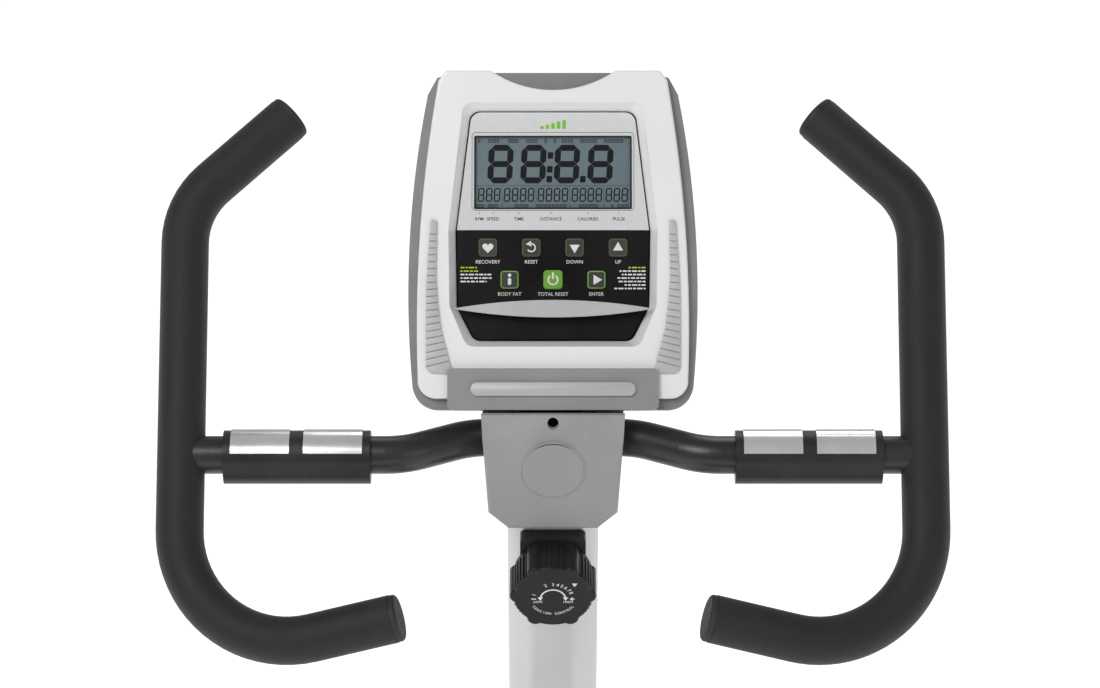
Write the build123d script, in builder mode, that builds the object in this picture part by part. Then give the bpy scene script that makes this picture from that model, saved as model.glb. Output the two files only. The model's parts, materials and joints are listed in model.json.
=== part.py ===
from build123d import *
import math
import os

# Upright magnetic exercise bike. Millimetres, +Z up, +Y forward, +X is the rider's right.
# The origin is on the floor, below the middle of the bike.

os.makedirs("parts", exist_ok=True)

# ---- Driving dimensions ----

# Feet and bottom beam
floor_length = 980.0
stabilizer_length = 430.0
stabilizer_radius = 25.0
end_cap_radius = 31.0
end_cap_length = 50.0
end_cap_overlap = 12.0
foot_flat = 1.0
tube_wall = 2.5
wheel_radius = 25.0
wheel_width = 18.0
wheel_forward = 32.0
wheel_ground_gap = 5.0
beam_width = 50.0
beam_height = 50.0
saddle_plate = 3.0
frame_bolt_radius = 4.0

# Seat tube and seat post
seat_tube_y = -70.0
seat_tube_lean = 15.0
seat_tube_length = 480.0
seat_tube_radius = 28.0
seat_post_radius = 25.0
seat_post_length = 449.0
seat_post_rise = 199.0
seat_hole_pitch = 25.0
seat_hole_count = 8
pin_radius = 4.0
pin_below_top = 25.0
pin_boss_length = 16.0
height_knob_radius = 19.0
pin_travel = 12.0

# Cranks and pedals
crank_y = -10.0
crank_z = 300.0
shell_radius = 27.0
shell_half_width = 34.0
crank_axle_radius = 10.0
crank_throw = 170.0
crank_arm_thickness = 14.0
crank_boss_radius = 21.0
pedal_boss_radius = 14.0
spindle_radius = 6.0
pedal_length = 104.0
pedal_width = 90.0
pedal_height = 22.0
strap_thickness = 2.5
strap_height = 58.0
strap_width = 34.0

# Belt drive and flywheel
drive_pulley_radius = 117.0
wheel_pulley_radius = 19.5
pulley_flange = 3.0
belt_plane_x = 48.0
pulley_width = 16.0
belt_width = 12.0
belt_thickness = 3.0
flywheel_y = 250.0
flywheel_beam_gap = 12.0
flywheel_radius = 130.0
cross_rim_gap = 18.69
flywheel_thickness = 20.0
flywheel_hub_radius = 24.0
flywheel_axle_radius = 8.0
dropout_thickness = 6.0
dropout_right_x = 64.0
dropout_left_x = -34.0
magnet_gap = 1.5
magnet_thickness = 3.0
brake_pivot_reach = 150.0
brake_pivot_angle = -28.0
brake_end_angle = 58.0
brake_rim_gap = 8.0

# Top beam
top_beam_size = 40.0
top_beam_gap = 30.0
top_beam_front = 300.0
top_beam_rear = -150.0

# Shroud
shroud_half_width = 84.0
shroud_wall = 3.0
shroud_edge_radius = 16.0
shroud_bottom_gap = 2.0
shroud_split_gap = 0.25
shroud_front_y = 300.0
shroud_front_radius = 70.0
shroud_rear_y = -165.0
shroud_rear_radius = 60.0
shroud_screw_radius = 2.0
screw_boss_radius = 8.0

# Mast
mast_foot_y = 306.34
mast_foot_drop = 20.75
mast_lean = 10.0
mast_width = 70.0
mast_depth = 50.0
mast_corner = 22.0
mast_above = 30.0
mast_length = 685.0
stub_wall = 4.0
stub_length = 110.0
stub_overrun = 16.0

# Handlebar
grip_back = 32.6
grip_rise = 65.7
bar_half_width = 279.0
crossbar_radius = 14.3
side_tube_radius = 12.7
bar_wall = 2.0
foam_radius = 18.0
bar_plug_thickness = 5.0

# Pulse grips
pulse_center_x = 191.6
pulse_length = 110.0
pulse_radius = 18.5
pulse_plate_length = 44.0
pulse_plate_offset = 27.2
pulse_plate_thickness = 1.2

# Console
console_tilt = 36.0
console_depth = 58.0
back_front_depth = 8.0
console_wall = 2.5
bezel_depth = 18.0
bezel_wall = 3.0
bezel_edge_radius = 1.8
recess_slope = 6.0
overlay_depth = 9.0
overlay_thickness = 2.0
button_size = 14.5
button_pitch = 32.8
button_row_high = 123.3
button_row_low = 98.8
button_proud = 0.8
button_travel = 1.0
lcd_low = 152.7
lcd_high = 208.6
lcd_half_width = 59.6
lip_half_width = 79.3
lip_top = 30.3
lip_proud = 6.0

# Tension knob
knob_below = 35.0
knob_radius = 30.0
knob_lobe_radius = 33.0
knob_lobe_round = 6.5
knob_depth = 29.0
knob_block_width = 50.0
knob_block_thickness = 10.0
knob_stem_radius = 4.0

# Saddle
saddle_length = 280.0
saddle_width = 260.0
cushion_thickness = 62.0
pan_thickness = 10.0
rail_length = 150.0
rail_width = 40.0
rail_height = 20.0
slider_length = 96.0
slider_wall = 4.0
saddle_travel = 25.0

# Clearances
running_gap = 0.05
body_gap = 0.3
cover_gap = 1.0
press_gap = 0.05

# ---- Places worked out from the dimensions ----

half_floor = floor_length / 2
front_foot_y = half_floor - wheel_forward - wheel_radius
rear_foot_y = end_cap_radius - half_floor
foot_z = end_cap_radius - foot_flat
beam_bottom = foot_z + stabilizer_radius + saddle_plate
beam_top = beam_bottom + beam_height
flywheel_z = beam_top + flywheel_beam_gap + flywheel_radius
top_beam_z = flywheel_z + flywheel_radius + top_beam_gap + top_beam_size / 2

# The dropout plates hang from the beam's front end; the cable guide is just ahead of it
hanger_y = top_beam_front + 5
hanger_z = top_beam_z - top_beam_size / 2 - 2
guide_y = top_beam_front + 52
guide_z = top_beam_z - top_beam_size / 2 - 5

lean = math.radians(mast_lean)
mast_up = Vector(0, -math.sin(lean), math.cos(lean))
mast_bottom = mast_above - mast_length
mast_origin = Vector(0, mast_foot_y, top_beam_z - mast_foot_drop) - mast_up * mast_bottom
mast_plane = Plane(origin=mast_origin, x_dir=(1, 0, 0), z_dir=mast_up)
stub_bottom = mast_bottom - stub_overrun
stub_width = mast_width + 2 * (body_gap + stub_wall)
stub_depth = mast_depth + 2 * (body_gap + stub_wall)

# Grip line: the level stretch of the handlebar crossbar
grip_y = mast_origin.Y - grip_back
grip_z = mast_origin.Z + grip_rise
tilt = math.radians(console_tilt)
face_normal = Vector(0, -math.cos(tilt), math.sin(tilt))
grip_point = Vector(0, grip_y, grip_z)
grip_side_plane = Plane(origin=grip_point, x_dir=(0, 1, 0), z_dir=(1, 0, 0))
grip_rear_plane = Plane(origin=grip_point, x_dir=(1, 0, 0), z_dir=(0, -1, 0))
face_origin = grip_point + Vector(0, 17, 30)
face_plane = Plane(origin=face_origin, x_dir=(1, 0, 0), z_dir=face_normal)
face_side_plane = Plane(origin=face_origin, x_dir=face_plane.y_dir, z_dir=(1, 0, 0))

# The crosspiece stands on the beam just ahead of the flywheel's rim
cross_height = 20.0
flywheel_below = flywheel_z - beam_top - cross_height
cross_y = flywheel_y + math.sqrt((flywheel_radius + cross_rim_gap) ** 2 - flywheel_below**2)

seat_lean = math.radians(seat_tube_lean)
seat_up = Vector(0, -math.sin(seat_lean), math.cos(seat_lean))
seat_origin = Vector(0, seat_tube_y, beam_top)
seat_plane = Plane(origin=seat_origin, x_dir=(1, 0, 0), z_dir=seat_up)
seat_post_top = seat_tube_length + seat_post_rise
seat_post_bottom = seat_post_top - seat_post_length
post_head = seat_origin + seat_up * seat_post_top
pin_height = seat_tube_length - pin_below_top

pulley_near_x = belt_plane_x - pulley_width / 2
pulley_far_x = belt_plane_x + pulley_width / 2
arm_inner_x = shroud_half_width + 5
arm_outer_x = arm_inner_x + crank_arm_thickness
pedal_inner_x = arm_outer_x + 4
pedal_center_x = pedal_inner_x + pedal_width / 2
strap_forward = strap_width / 2 + spindle_radius + 5

brake_angle = math.radians(brake_pivot_angle)
brake_pivot_y = flywheel_y + brake_pivot_reach * math.cos(brake_angle)
brake_pivot_z = flywheel_z + brake_pivot_reach * math.sin(brake_angle)
brake_inner_x = flywheel_thickness / 2 + magnet_gap + magnet_thickness
brake_plate = 3.0

overlay_front = -overlay_depth
overlay_back = -overlay_depth - overlay_thickness

# ---- Shared outlines ----


def shroud_outline(grow):
    # Side view of the shroud: a hull round the pulley, the flywheel and the frame tubes.
    with BuildSketch() as outline:
        with BuildLine():
            CenterArc((crank_y - 20, crank_z), drive_pulley_radius + 48 + grow, 0, 360)
            CenterArc((flywheel_y + 12, flywheel_z + 12), flywheel_radius + 50 + grow, 0, 360)
            CenterArc((shroud_front_y, top_beam_z - 10), shroud_front_radius + grow, 0, 360)
            CenterArc((shroud_rear_y, top_beam_z), shroud_rear_radius + grow, 0, 360)
        make_hull()
    return outline.sketch


def mast_section(grow):
    RectangleRounded(mast_width + 2 * grow, mast_depth + 2 * grow, mast_corner + grow)


def half_outline(points, arc_point):
    # Right half of a console outline from its bottom middle to its top middle; the side is
    # one arc. The points are bottom middle, bottom corner, side foot, side head and the rest.
    with BuildSketch() as outline:
        with BuildLine():
            Polyline(points[0], points[1])
            TangentArc(points[1], points[2], tangent=(1, 0))
            ThreePointArc(points[2], arc_point, points[3])
            Polyline(*points[3:])
            Line(points[-1], points[0])
        make_face()
        mirror(about=Plane.YZ)
    return outline.sketch


def back_outline(inset):
    return half_outline(
        [
            (0, inset),
            (86, inset),
            (106 - inset, 19),
            (95 - inset, 240),
            (88 - inset, 253 - inset),
            (76, 257 - inset),
            (0, 257 - inset),
        ],
        (109 - inset, 112),
    )


def bezel_outline(grow):
    half = half_outline(
        [
            (0, 7.5 - grow),
            (88, 7.5 - grow),
            (102 + grow, 23),
            (87 + grow, 250),
            (81, 258 + grow),
            (0, 258 + grow),
        ],
        (101 + grow, 128),
    )
    with BuildSketch() as outline:
        add(half)
        with Locations((0, 325)):
            Circle(82 - grow, mode=Mode.SUBTRACT)
    return outline.sketch


def recess_outline(grow):
    # The dished window of the bezel: narrower at its head than at its waist
    with BuildSketch() as outline:
        with BuildLine():
            FilletPolyline(
                (-59 - grow, 53 - grow),
                (59 + grow, 53 - grow),
                (72 + grow, 78),
                (73 + grow, 136),
                (62 + grow, 227 + grow),
                (-62 - grow, 227 + grow),
                (-73 - grow, 136),
                (-72 - grow, 78),
                radius=8,
                close=True,
            )
        make_face()
    return outline.sketch


def lens_outline(half_length, half_height):
    with BuildSketch() as outline:
        with BuildLine():
            ThreePointArc((-half_length, 0), (0, half_height), (half_length, 0))
            ThreePointArc((half_length, 0), (0, -half_height), (-half_length, 0))
        make_face()
    return outline.sketch


# ---- Frame ----

with BuildPart() as main_frame:
    beam_length = front_foot_y - rear_foot_y + 60
    with BuildSketch(Plane.XZ.offset(-(front_foot_y + 30))):
        with Locations((0, (beam_bottom + beam_top) / 2)):
            RectangleRounded(beam_width, beam_height, 6)
            RectangleRounded(beam_width - 2 * tube_wall, beam_height - 2 * tube_wall, 3.5, mode=Mode.SUBTRACT)
    extrude(amount=beam_length)
    # Top beam from the seat tube to the mast stub
    with BuildSketch(Plane.XZ.offset(-top_beam_front)):
        with Locations((0, top_beam_z)):
            RectangleRounded(top_beam_size, top_beam_size, 5)
            RectangleRounded(top_beam_size - 5, top_beam_size - 5, 3, mode=Mode.SUBTRACT)
    extrude(amount=top_beam_front - top_beam_rear)
    # Strut and brace of the bottom bracket shell
    with BuildSketch(Plane.XY.offset(beam_top - tube_wall / 2)):
        with Locations((0, crank_y)):
            RectangleRounded(30, 40, 6)
            RectangleRounded(25, 35, 4, mode=Mode.SUBTRACT)
    extrude(amount=crank_z - beam_top)
    with BuildSketch(Plane.XZ.offset(-crank_y)):
        with Locations((0, crank_z)):
            Circle(16)
            Circle(16 - tube_wall, mode=Mode.SUBTRACT)
    extrude(amount=115)
    # Seat tube and bottom bracket shell
    with BuildSketch(seat_plane.offset(-tube_wall / 2)):
        Circle(seat_tube_radius)
    extrude(amount=seat_tube_length + tube_wall / 2)
    with BuildSketch(Plane.YZ.offset(-shell_half_width)):
        with Locations((crank_y, crank_z)):
            Circle(shell_radius)
    extrude(amount=2 * shell_half_width)
    # Mast stub
    with BuildSketch(mast_plane.offset(stub_bottom)):
        RectangleRounded(stub_width, stub_depth, mast_corner + body_gap + stub_wall)
    extrude(amount=stub_length)
    # Dropout plates with their cross pieces
    cross_width = dropout_right_x + dropout_thickness - dropout_left_x
    cross_middle = (dropout_right_x + dropout_thickness + dropout_left_x) / 2
    with Locations((cross_middle, hanger_y, hanger_z)):
        Box(cross_width, 34, 16)
    with Locations((cross_middle, cross_y, beam_top + 8)):
        Box(cross_width, 26, cross_height)
    for plate_x in (dropout_left_x, dropout_right_x):
        for end_y, end_z, end_radius in ((hanger_y, hanger_z, 14), (cross_y, beam_top + 9, 10)):
            with BuildSketch(Plane.YZ.offset(plate_x)):
                with BuildLine():
                    CenterArc((end_y, end_z), end_radius, 0, 360)
                    CenterArc((flywheel_y, flywheel_z), 18, 0, 360)
                make_hull()
            extrude(amount=dropout_thickness)
    # Brake pivot lugs and pin
    lug_x = brake_inner_x + brake_plate + 2
    for side in (-1, 1):
        with BuildSketch(Plane.YZ.offset(side * lug_x)):
            with BuildLine():
                CenterArc((brake_pivot_y, brake_pivot_z), 9, 0, 360)
                CenterArc((cross_y + 6, beam_top + 10), 9, 0, 360)
            make_hull()
        extrude(amount=side * 4)
    with BuildSketch(Plane.YZ.offset(-lug_x - 4)):
        with Locations((brake_pivot_y, brake_pivot_z)):
            Circle(4)
    extrude(amount=2 * lug_x + 8)
    # Cable guide under the top beam
    with Locations((0, guide_y, guide_z)):
        Box(14, 60, 6)
    # Boss for the seat height pin
    pin_plane = Plane(origin=seat_origin + seat_up * pin_height, x_dir=(1, 0, 0), z_dir=seat_plane.y_dir * -1)
    with BuildSketch(pin_plane.offset(seat_tube_radius - 3)):
        Circle(12)
    extrude(amount=pin_boss_length + 3)
    # Bores and holes
    with BuildSketch(seat_plane.offset(seat_tube_length)):
        Circle(seat_post_radius + body_gap)
    extrude(amount=-seat_tube_length, mode=Mode.SUBTRACT)
    with BuildSketch(pin_plane):
        Circle(pin_radius + body_gap)
    extrude(amount=seat_tube_radius + pin_boss_length + 10, mode=Mode.SUBTRACT)
    with BuildSketch(Plane.YZ.offset(-shell_half_width)):
        with Locations((crank_y, crank_z)):
            Circle(shell_radius - 4)
    extrude(amount=2 * shell_half_width, mode=Mode.SUBTRACT)
    with BuildSketch(mast_plane.offset(mast_bottom)):
        mast_section(body_gap)
    extrude(amount=mast_length, mode=Mode.SUBTRACT)
    with BuildSketch(mast_plane.offset(stub_bottom)):
        Circle(12)
    extrude(amount=stub_overrun, mode=Mode.SUBTRACT)
    with BuildSketch(Plane.YZ.offset(dropout_left_x)):
        with Locations((flywheel_y, flywheel_z)):
            Circle(flywheel_axle_radius + press_gap)
    extrude(amount=cross_width, mode=Mode.SUBTRACT)
    with BuildSketch(Plane.XY.offset(beam_bottom)):
        with Locations((0, front_foot_y - 18), (0, front_foot_y + 18), (0, rear_foot_y - 18), (0, rear_foot_y + 18)):
            Circle(frame_bolt_radius + body_gap)
    extrude(amount=beam_height, mode=Mode.SUBTRACT)
    with Locations((0, guide_y, guide_z)):
        Box(4, 20, 6, mode=Mode.SUBTRACT)

# ---- Feet ----


def stabilizer(foot_y):
    with BuildPart() as made:
        with BuildSketch(Plane.YZ.offset(-stabilizer_length / 2)):
            with Locations((foot_y, foot_z)):
                Circle(stabilizer_radius)
        extrude(amount=stabilizer_length)
        with Locations((0, foot_y, foot_z + stabilizer_radius / 2 + saddle_plate / 2)):
            Box(beam_width + 20, 56, stabilizer_radius + saddle_plate)
        with BuildSketch(Plane.YZ.offset(-stabilizer_length / 2)):
            with Locations((foot_y, foot_z)):
                Circle(stabilizer_radius - tube_wall)
        extrude(amount=stabilizer_length, mode=Mode.SUBTRACT)
        with BuildSketch(Plane.XY.offset(beam_bottom)):
            with Locations((0, foot_y - 18), (0, foot_y + 18)):
                Circle(frame_bolt_radius + body_gap)
        extrude(amount=-(stabilizer_radius + saddle_plate), mode=Mode.SUBTRACT)
    return made


front_stabilizer = stabilizer(front_foot_y)
rear_stabilizer = stabilizer(rear_foot_y)

cap_start = stabilizer_length / 2 - end_cap_overlap
wheel_y = front_foot_y + wheel_forward
wheel_z = wheel_radius + wheel_ground_gap
wheel_x = cap_start + end_cap_length / 2
wheel_slot = wheel_width + 4
wheel_pin_radius = 5.0

with BuildPart() as front_end_caps:
    with BuildSketch(Plane.YZ.offset(cap_start)):
        with Locations((front_foot_y, foot_z)):
            Circle(end_cap_radius)
        with BuildLine():
            CenterArc((front_foot_y, foot_z), 20, 0, 360)
            CenterArc((wheel_y, wheel_z), 13, 0, 360)
        make_hull()
    extrude(amount=end_cap_length)
    fillet(front_end_caps.faces().sort_by(Axis.X)[-1].edges(), radius=6)
    with BuildSketch(Plane.YZ.offset(cap_start)):
        with Locations((front_foot_y, foot_z)):
            Circle(stabilizer_radius + body_gap)
    extrude(amount=end_cap_overlap, mode=Mode.SUBTRACT)
    with BuildSketch(Plane.YZ.offset(wheel_x - wheel_slot / 2)):
        with Locations((wheel_y, wheel_z)):
            Circle(wheel_radius + 2)
    extrude(amount=wheel_slot, mode=Mode.SUBTRACT)
    with BuildSketch(Plane.YZ.offset(wheel_x - wheel_slot / 2 - 4)):
        with Locations((wheel_y, wheel_z)):
            Circle(wheel_pin_radius)
    extrude(amount=wheel_slot + 8)
    with Locations((wheel_x, front_foot_y, 0)):
        Box(200, 200, 50, align=(Align.CENTER, Align.CENTER, Align.MAX), mode=Mode.SUBTRACT)
    mirror(about=Plane.YZ)

with BuildPart() as rear_end_caps:
    with BuildSketch(Plane.YZ.offset(cap_start)):
        with Locations((rear_foot_y, foot_z)):
            Circle(end_cap_radius)
    extrude(amount=end_cap_length)
    fillet(rear_end_caps.faces().sort_by(Axis.X)[-1].edges(), radius=6)
    with BuildSketch(Plane.YZ.offset(cap_start)):
        with Locations((rear_foot_y, foot_z)):
            Circle(stabilizer_radius + body_gap)
    extrude(amount=end_cap_overlap, mode=Mode.SUBTRACT)
    with Locations((wheel_x, rear_foot_y, 0)):
        Box(200, 200, 50, align=(Align.CENTER, Align.CENTER, Align.MAX), mode=Mode.SUBTRACT)
    mirror(about=Plane.YZ)


def transport_wheel(center_x):
    with BuildPart() as made:
        with BuildSketch(Plane.YZ.offset(center_x - wheel_width / 2)):
            with Locations((wheel_y, wheel_z)):
                Circle(wheel_radius)
                Circle(wheel_pin_radius + running_gap, mode=Mode.SUBTRACT)
        extrude(amount=wheel_width)
        fillet(made.edges().filter_by(GeomType.CIRCLE).sort_by(SortBy.RADIUS)[-2:], radius=3)
    return made


transport_wheel_left = transport_wheel(-wheel_x)
transport_wheel_right = transport_wheel(wheel_x)

with BuildPart() as frame_bolts:
    for bolt_y in (front_foot_y - 18, front_foot_y + 18, rear_foot_y - 18, rear_foot_y + 18):
        with BuildSketch(Plane.XY.offset(beam_top)):
            with Locations((0, bolt_y)):
                Circle(frame_bolt_radius)
        extrude(amount=-(beam_height + saddle_plate + 1.5))
        with BuildSketch(Plane.XY.offset(beam_top)):
            with Locations((0, bolt_y)):
                Circle(8)
        extrude(amount=5, taper=25)

# ---- Drive ----

with BuildPart() as crank_bearings:
    for side in (-1, 1):
        with BuildSketch(Plane.YZ.offset(side * (shell_half_width + 2))):
            with Locations((crank_y, crank_z)):
                Circle(shell_radius)
                Circle(crank_axle_radius + running_gap, mode=Mode.SUBTRACT)
        extrude(amount=-side * 2)
        with BuildSketch(Plane.YZ.offset(side * shell_half_width)):
            with Locations((crank_y, crank_z)):
                Circle(shell_radius - 4 - press_gap)
                Circle(crank_axle_radius + running_gap, mode=Mode.SUBTRACT)
        extrude(amount=-side * 14)

with BuildPart() as crank_axle:
    with BuildSketch(Plane.YZ.offset(-arm_outer_x)):
        with Locations((crank_y, crank_z)):
            Circle(crank_axle_radius)
    extrude(amount=2 * arm_outer_x)
    with BuildSketch(Plane.YZ.offset(shell_half_width + 3)):
        with Locations((crank_y, crank_z)):
            Circle(26)
    extrude(amount=pulley_near_x + 4 - shell_half_width - 3)

with BuildPart() as drive_pulley:
    outer = drive_pulley_radius + pulley_flange
    with BuildSketch(Plane.YZ.offset(pulley_near_x)):
        with Locations((crank_y, crank_z)):
            Circle(outer)
    extrude(amount=pulley_width)
    # Belt groove
    with BuildSketch(Plane.YZ.offset(pulley_near_x + 1.5)):
        with Locations((crank_y, crank_z)):
            Circle(outer + 1)
            Circle(drive_pulley_radius, mode=Mode.SUBTRACT)
    extrude(amount=pulley_width - 3, mode=Mode.SUBTRACT)
    # Thin web with lightening holes
    for start_x, amount in ((pulley_near_x, 4), (pulley_far_x, -8)):
        with BuildSketch(Plane.YZ.offset(start_x)):
            with Locations((crank_y, crank_z)):
                Circle(drive_pulley_radius - 8)
                Circle(26 + press_gap, mode=Mode.SUBTRACT)
        extrude(amount=amount, mode=Mode.SUBTRACT)
    with BuildSketch(Plane.YZ.offset(pulley_near_x)):
        with Locations((crank_y, crank_z)):
            Circle(26 + press_gap)
    extrude(amount=4, mode=Mode.SUBTRACT)
    with BuildSketch(Plane.YZ.offset(pulley_near_x)):
        with Locations((crank_y, crank_z)):
            Circle(crank_axle_radius + press_gap)
            with PolarLocations(70, 6):
                Circle(20)
    extrude(amount=pulley_width, mode=Mode.SUBTRACT)


def crank_arm(side):
    # The right arm points forward at rest and the left arm back.
    far_y = crank_y + side * crank_throw
    with BuildPart() as made:
        with BuildSketch(Plane.YZ.offset(side * arm_inner_x)):
            with BuildLine():
                CenterArc((crank_y, crank_z), crank_boss_radius, 0, 360)
                CenterArc((far_y, crank_z), pedal_boss_radius, 0, 360)
            make_hull()
        extrude(amount=side * crank_arm_thickness)
        outer_face = made.faces().sort_by(Axis.X)[-1 if side > 0 else 0]
        fillet(outer_face.edges(), radius=3)
        with BuildSketch(Plane.YZ.offset(side * arm_inner_x)):
            with Locations((crank_y, crank_z)):
                Circle(crank_axle_radius + press_gap)
        extrude(amount=side * crank_arm_thickness, mode=Mode.SUBTRACT)
        # Pedal spindle, pressed into the arm
        with BuildSketch(Plane.YZ.offset(side * (arm_inner_x + 2))):
            with Locations((far_y, crank_z)):
                Circle(spindle_radius)
        extrude(amount=side * (pedal_inner_x + pedal_width - 9 - arm_inner_x))
    return made


crank_arm_left = crank_arm(-1)
crank_arm_right = crank_arm(1)

with BuildPart() as crank_bolt_caps:
    for side in (-1, 1):
        with BuildSketch(Plane.YZ.offset(side * arm_outer_x)):
            with Locations((crank_y, crank_z)):
                Circle(15)
        extrude(amount=side * 5)
    fillet(crank_bolt_caps.faces().sort_by(Axis.X)[-1].edges(), radius=2)
    fillet(crank_bolt_caps.faces().sort_by(Axis.X)[0].edges(), radius=2)


def pedal(side):
    middle_y = crank_y + side * crank_throw
    middle_x = side * pedal_center_x
    with BuildPart() as made:
        # Wide tread above, counterweighted keel below, so that it hangs level
        with BuildSketch(Plane.XY.offset(crank_z - 11)):
            with Locations((middle_x, middle_y)):
                RectangleRounded(pedal_width, pedal_length, 14)
        extrude(amount=pedal_height)
        with BuildSketch(Plane.XY.offset(crank_z - 11)):
            with Locations((middle_x, middle_y)):
                RectangleRounded(pedal_width - 24, pedal_length - 34, 8)
        extrude(amount=-9, taper=20)
        with BuildSketch(Plane.XY.offset(crank_z - 11)):
            with Locations((middle_x, middle_y - 36), (middle_x, middle_y + 36)):
                RectangleRounded(pedal_width - 30, 16, 4)
        extrude(amount=pedal_height, mode=Mode.SUBTRACT)
        with BuildSketch(Plane.YZ.offset(side * (pedal_inner_x - 1))):
            with Locations((middle_y, crank_z)):
                Circle(spindle_radius + running_gap)
        extrude(amount=side * (pedal_width - 4), mode=Mode.SUBTRACT)
        # Side slots that hold the strap's ends
        with Locations((middle_x, middle_y + strap_forward, crank_z)):
            Box(pedal_width - 6, strap_width + 1, 8, mode=Mode.SUBTRACT)
            Box(pedal_width - 16, strap_width + 2, 10)
        with BuildSketch(Plane.YZ.offset(side * (pedal_inner_x - 1))):
            with Locations((middle_y, crank_z)):
                Circle(spindle_radius + running_gap)
        extrude(amount=side * (pedal_width - 4), mode=Mode.SUBTRACT)
    return made


def pedal_strap(side):
    # A flat rubber band over the toes; its feet hug the pedal's two sides.
    middle_y = crank_y + side * crank_throw + strap_forward
    middle_x = side * pedal_center_x
    half = pedal_width / 2 + 0.4
    with BuildPart() as made:
        strap_plane = Plane(
            origin=(middle_x, middle_y + strap_width / 2, crank_z), x_dir=(1, 0, 0), z_dir=(0, -1, 0)
        )
        with BuildSketch(strap_plane):
            with BuildLine():
                FilletPolyline(
                    (-half - strap_thickness, -9),
                    (-half - strap_thickness, strap_height * 0.55),
                    (-half * 0.55, strap_height + 10),
                    (half * 0.55, strap_height + 10),
                    (half + strap_thickness, strap_height * 0.55),
                    (half + strap_thickness, -9),
                    (half, -9),
                    (half, strap_height * 0.55 - 1),
                    (half * 0.53, strap_height + 10 - strap_thickness),
                    (-half * 0.53, strap_height + 10 - strap_thickness),
                    (-half, strap_height * 0.55 - 1),
                    (-half, -9),
                    radius=1,
                    close=True,
                )
            make_face()
        extrude(amount=strap_width)
    return made


pedal_left = pedal(-1)
pedal_right = pedal(1)
pedal_strap_left = pedal_strap(-1)
pedal_strap_right = pedal_strap(1)

with BuildPart() as flywheel:
    with BuildSketch(Plane.YZ.offset(-flywheel_thickness / 2)):
        with Locations((flywheel_y, flywheel_z)):
            Circle(flywheel_radius)
    extrude(amount=flywheel_thickness)
    for side in (-1, 1):
        with BuildSketch(Plane.YZ.offset(side * flywheel_thickness / 2)):
            with Locations((flywheel_y, flywheel_z)):
                Circle(flywheel_radius - 42)
        extrude(amount=-side * 6, mode=Mode.SUBTRACT)
    with BuildSketch(Plane.YZ.offset(-flywheel_thickness / 2 - 10)):
        with Locations((flywheel_y, flywheel_z)):
            Circle(flywheel_hub_radius)
    extrude(amount=flywheel_thickness / 2 + 10 + pulley_near_x)
    with BuildSketch(Plane.YZ.offset(pulley_near_x)):
        with Locations((flywheel_y, flywheel_z)):
            Circle(wheel_pulley_radius)
    extrude(amount=pulley_width)
    for flange_x in (pulley_near_x, pulley_far_x - 1.5):
        with BuildSketch(Plane.YZ.offset(flange_x)):
            with Locations((flywheel_y, flywheel_z)):
                Circle(wheel_pulley_radius + pulley_flange)
        extrude(amount=1.5)
    with BuildSketch(Plane.YZ.offset(-flywheel_thickness / 2 - 10)):
        with Locations((flywheel_y, flywheel_z)):
            Circle(flywheel_axle_radius + running_gap)
    extrude(amount=flywheel_thickness / 2 + 10 + pulley_far_x, mode=Mode.SUBTRACT)

with BuildPart() as flywheel_axle:
    axle_left = dropout_left_x - 8
    axle_right = dropout_right_x + dropout_thickness + 8
    with BuildSketch(Plane.YZ.offset(axle_left)):
        with Locations((flywheel_y, flywheel_z)):
            Circle(flywheel_axle_radius)
    extrude(amount=axle_right - axle_left)
    for nut_x, direction in ((dropout_left_x, -1), (dropout_right_x + dropout_thickness, 1)):
        with BuildSketch(Plane.YZ.offset(nut_x)):
            with Locations((flywheel_y, flywheel_z)):
                RegularPolygon(13, 6)
        extrude(amount=direction * 6)

with BuildPart() as drive_belt:
    inner_big = drive_pulley_radius + body_gap + 0.1
    inner_small = wheel_pulley_radius + body_gap + 0.1
    with BuildSketch(Plane.YZ.offset(belt_plane_x - belt_width / 2)):
        with BuildLine():
            CenterArc((crank_y, crank_z), inner_big + belt_thickness, 0, 360)
            CenterArc((flywheel_y, flywheel_z), inner_small + belt_thickness, 0, 360)
        make_hull()
        with BuildSketch(mode=Mode.SUBTRACT):
            with BuildLine():
                CenterArc((crank_y, crank_z), inner_big, 0, 360)
                CenterArc((flywheel_y, flywheel_z), inner_small, 0, 360)
            make_hull()
    extrude(amount=belt_width)

# ---- Magnetic brake ----


def polar(radius, angle):
    turn = math.radians(angle)
    return (flywheel_y + radius * math.cos(turn), flywheel_z + radius * math.sin(turn))


def rim_band(inner, outer, start_angle, end_angle):
    # A piece of a ring round the flywheel's axle
    middle = (start_angle + end_angle) / 2
    with BuildSketch() as band:
        with BuildLine():
            ThreePointArc(polar(inner, start_angle), polar(inner, middle), polar(inner, end_angle))
            Line(polar(inner, end_angle), polar(outer, end_angle))
            ThreePointArc(polar(outer, end_angle), polar(outer, middle), polar(outer, start_angle))
            Line(polar(outer, start_angle), polar(inner, start_angle))
        make_face()
    return band.sketch


web_inner = flywheel_radius + brake_rim_gap
web_outer = web_inner + brake_plate
band_start = brake_pivot_angle + 10

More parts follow.
